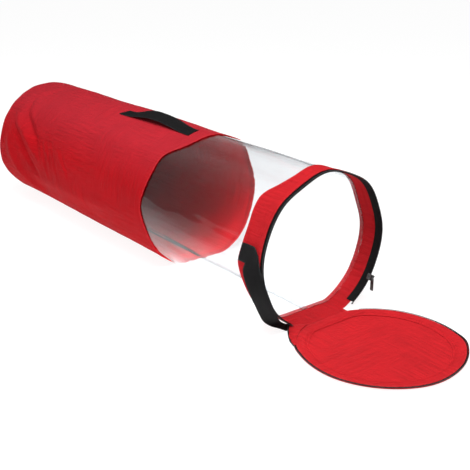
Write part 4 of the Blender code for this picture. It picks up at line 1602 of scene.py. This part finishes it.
def strapMesh(name, nearEdge, farEdge):
    # a strap between two edge lines, slightly crowned, with rounded selvedges
    nearEdge, farEdge = np.asarray(nearEdge, float), np.asarray(farEdge, float)
    normal = unitNormals(np.gradient((nearEdge + farEdge) / 2, axis=0), farEdge - nearEdge)
    steps, half = webbing["acrossSteps"], webbing["thickness"] / 2
    shares = np.linspace(0, 1, steps + 1)
    sections = []
    for low, high, out in zip(nearEdge, farEdge, normal):
        run = high - low
        brim = run / np.linalg.norm(run) * webbing["selvedge"]
        upper, lower = [], []
        for share in shares:
            crown = half * (1 - 0.35 * abs(2 * share - 1) ** 6)
            upper.append(low + run * share + out * crown)
            lower.append(low + run * share - out * crown)
        sections.append(upper + [high + brim] + lower[::-1] + [low - brim])
    mesh = barMesh(name, sections, 70)
    columns = 2 * steps + 4
    edge = np.zeros(columns)
    edge[[0, steps, steps + 1, steps + 2, columns - 2, columns - 1]] = (0.6, 0.6, 1.0, 0.6, 0.6, 1.0)
    setPointValues(mesh, "edge", np.tile(edge, len(sections)))
    return mesh


def addStrapHalf(name, near, far, nodes):
    return addPiece(name, strapMesh(name, near, far), webbingBlack, None, nodes)


def addBoxStitches(name, near, far):
    # a sewn box with a cross in it, on top of a strap's flat end
    share = np.linspace(0, 1, len(near))[:, None]
    across = far - near
    out = unitNormals(np.gradient((near + far) / 2, axis=0), across)
    lift = out * (webbing["thickness"] / 2 + 0.0001)
    low, high = near + across * 0.10 + lift, near + across * 0.90 + lift
    ends = [(np.linspace(low[k], high[k], 8), np.tile(out[k], (8, 1)), False) for k in (0, -1)]
    cross = [low * (1 - share) + high * share, high * (1 - share) + low * share]
    paths = [(line, out, False) for line in (low, high, *cross)] + ends
    row = rowMesh(name, paths, webbing["stitchSpacing"], webbing["stitchSize"], threadBlack)
    addPiece(name, row, threadBlack, "bag")


topHandle = {
    "splitX": -0.002,
    "topHandleRearStitches": (-0.096, -0.066),
    "topHandleFrontStitches": (0.130, 0.160),
    "path": [  # x, near edge's lift and angle, far edge's lift and angle, how far it runs ahead
        (-0.099, 0.0013, 74.2, 0.0013, 83.2, 0.012),
        (-0.080, 0.0013, 74.3, 0.0013, 83.3, 0.006),
        (-0.063, 0.0017, 74.5, 0.0018, 83.4, 0.001),
        (-0.045, 0.0032, 74.8, 0.0050, 83.6, 0.0),
        (-0.025, 0.0062, 75.2, 0.0098, 84.2, 0.0),
        (-0.002, 0.0088, 75.8, 0.0155, 85.0, 0.0),
        (0.025, 0.0108, 76.2, 0.0175, 85.8, 0.0),
        (0.060, 0.0100, 76.6, 0.0150, 87.0, 0.0),
        (0.100, 0.0058, 76.9, 0.0100, 87.6, 0.0),
        (0.127, 0.0022, 77.0, 0.0034, 87.8, 0.0),
        (0.145, 0.0013, 77.0, 0.0013, 87.8, 0.0),
        (0.163, 0.0013, 77.0, 0.0013, 87.8, 0.0),
    ],
}


def topHandleEdges(xs):
    nearLift, nearTurn, farLift, farTurn, ahead = shortTable(topHandle["path"], xs)
    edges = []
    for x, lift, around in ((xs, nearLift, nearTurn), (xs + ahead, farLift, farTurn)):
        face = outerRadius(x, around) + sleeveOffset(x, around)
        edges.append(bagPoints(x, around, face + lift))
    return edges


def makeTopHandle():
    split = topHandle["splitX"]
    first, last = topHandle["path"][0][0], topHandle["path"][-1][0]
    for name, xs, nodes, fixed, free in (
        ("topHandleRear", np.linspace(first, split, 34), ["top_handle_rear_end"], -0.063, -0.022),
        ("topHandleFront", np.linspace(split, last, 48), ["top_handle_front_end", "top_handle_strap"], 0.127, 0.045),
    ):
        piece = addStrapHalf(name, *topHandleEdges(xs), nodes)
        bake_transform(piece)
    for name in ("topHandleRearStitches", "topHandleFrontStitches"):
        addBoxStitches(name, *topHandleEdges(np.linspace(*topHandle[name], 14)))


makeTopHandle()

grabHandle = {
    "split": 5.0,
    "patchFront": 0.5350,
    "patch": [  # rear x, angle, lift, bow, and how far it is cut slantwise at the mouth's side
        (0.4815, -0.2, 0.0028, 0.0, 0.0),
        (0.4880, 12.7, 0.0022, 0.5, 5.0),
    ],
    "path": [  # station, front edge x, angle, lift, rear edge x, angle, lift
        (0.0, 0.5332, 7.8, 0.0006, 0.5005, 1.9, 0.0006),
        (1.0, 0.5375, 4.3, 0.0010, 0.5015, -0.8, 0.0031),
        (2.0, 0.5430, 0.1, 0.0023, 0.5085, -3.1, 0.0130),
        (3.0, 0.5487, -4.6, 0.0024, 0.5173, -7.0, 0.0186),
        (4.0, 0.5531, -9.9, 0.0024, 0.5235, -12.9, 0.0201),
        (5.0, 0.5562, -16.1, 0.0024, 0.5269, -19.5, 0.0196),
        (6.0, 0.5573, -22.6, 0.0024, 0.5278, -26.4, 0.0186),
        (7.0, 0.5570, -30.3, 0.0024, 0.5289, -33.3, 0.0196),
        (8.0, 0.5515, -39.4, 0.0024, 0.5318, -38.8, 0.0218),
        (9.0, 0.5372, -49.6, 0.0022, 0.5400, -43.0, 0.0204),
        (10.0, 0.5285, -58.2, 0.0024, 0.5432, -48.8, 0.0150),
        (11.0, 0.5240, -62.2, 0.0022, 0.5434, -53.5, 0.0128),
        (12.0, 0.5226, -63.8, 0.0014, 0.5434, -56.2, 0.0122),
        (13.0, 0.5222, -64.6, 0.0012, 0.5430, -57.6, 0.0108),
    ],
}


def grabEdges(stations):
    frontX, frontTurn, frontLift, rearX, rearTurn, rearLift = shortTable(grabHandle["path"], stations)
    edges = []
    for x, turn, lift in ((rearX, rearTurn, rearLift), (frontX, frontTurn, frontLift)):
        edges.append(bagPoints(x, turn, outerRadius(np.minimum(x, 0.54), turn) + 0.0007 + lift))
    return edges


def makeGrabHandle():
    split, last = grabHandle["split"], grabHandle["path"][-1][0]
    for name, stations, nodes, fixed, free in (
        ("grabHandleUpper", np.linspace(0, split, 36), ["grab_handle_upper_end", "grab_handle_strap"], 1.0, 4.0),
        ("grabHandleLower", np.linspace(split, last, 56), ["grab_handle_lower_end"], 10.0, 6.5),
    ):
        rear, front = grabEdges(stations)
        ends = [sum(grabEdges(np.array([station])))[0] / 2 for station in (fixed, free)]
        piece = addStrapHalf(name, front, rear, nodes)
        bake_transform(piece)

    # the webbing's upper end, sewn flat across the band before it folds down
    lines = []
    for rearX, turn, lift, bow, slant in grabHandle["patch"]:
        x = np.linspace(rearX, grabHandle["patchFront"], 24)
        turn = turn + bow * np.sin((x - rearX) / 0.023 * math.pi / 2)
        turn = turn - slant * np.clip((x - 0.520) / 0.015, 0, 1) ** 1.4
        lines.append(bagPoints(x, turn, outerRadius(x, turn) + lift))
    mesh = strapMesh("grabHandlePatch", *lines)
    addPiece("grabHandlePatch", mesh, webbingBlack, "bag")
    addBoxStitches("grabHandlePatchStitches", *(line[1:16] for line in lines))


makeGrabHandle()
print("handles made")
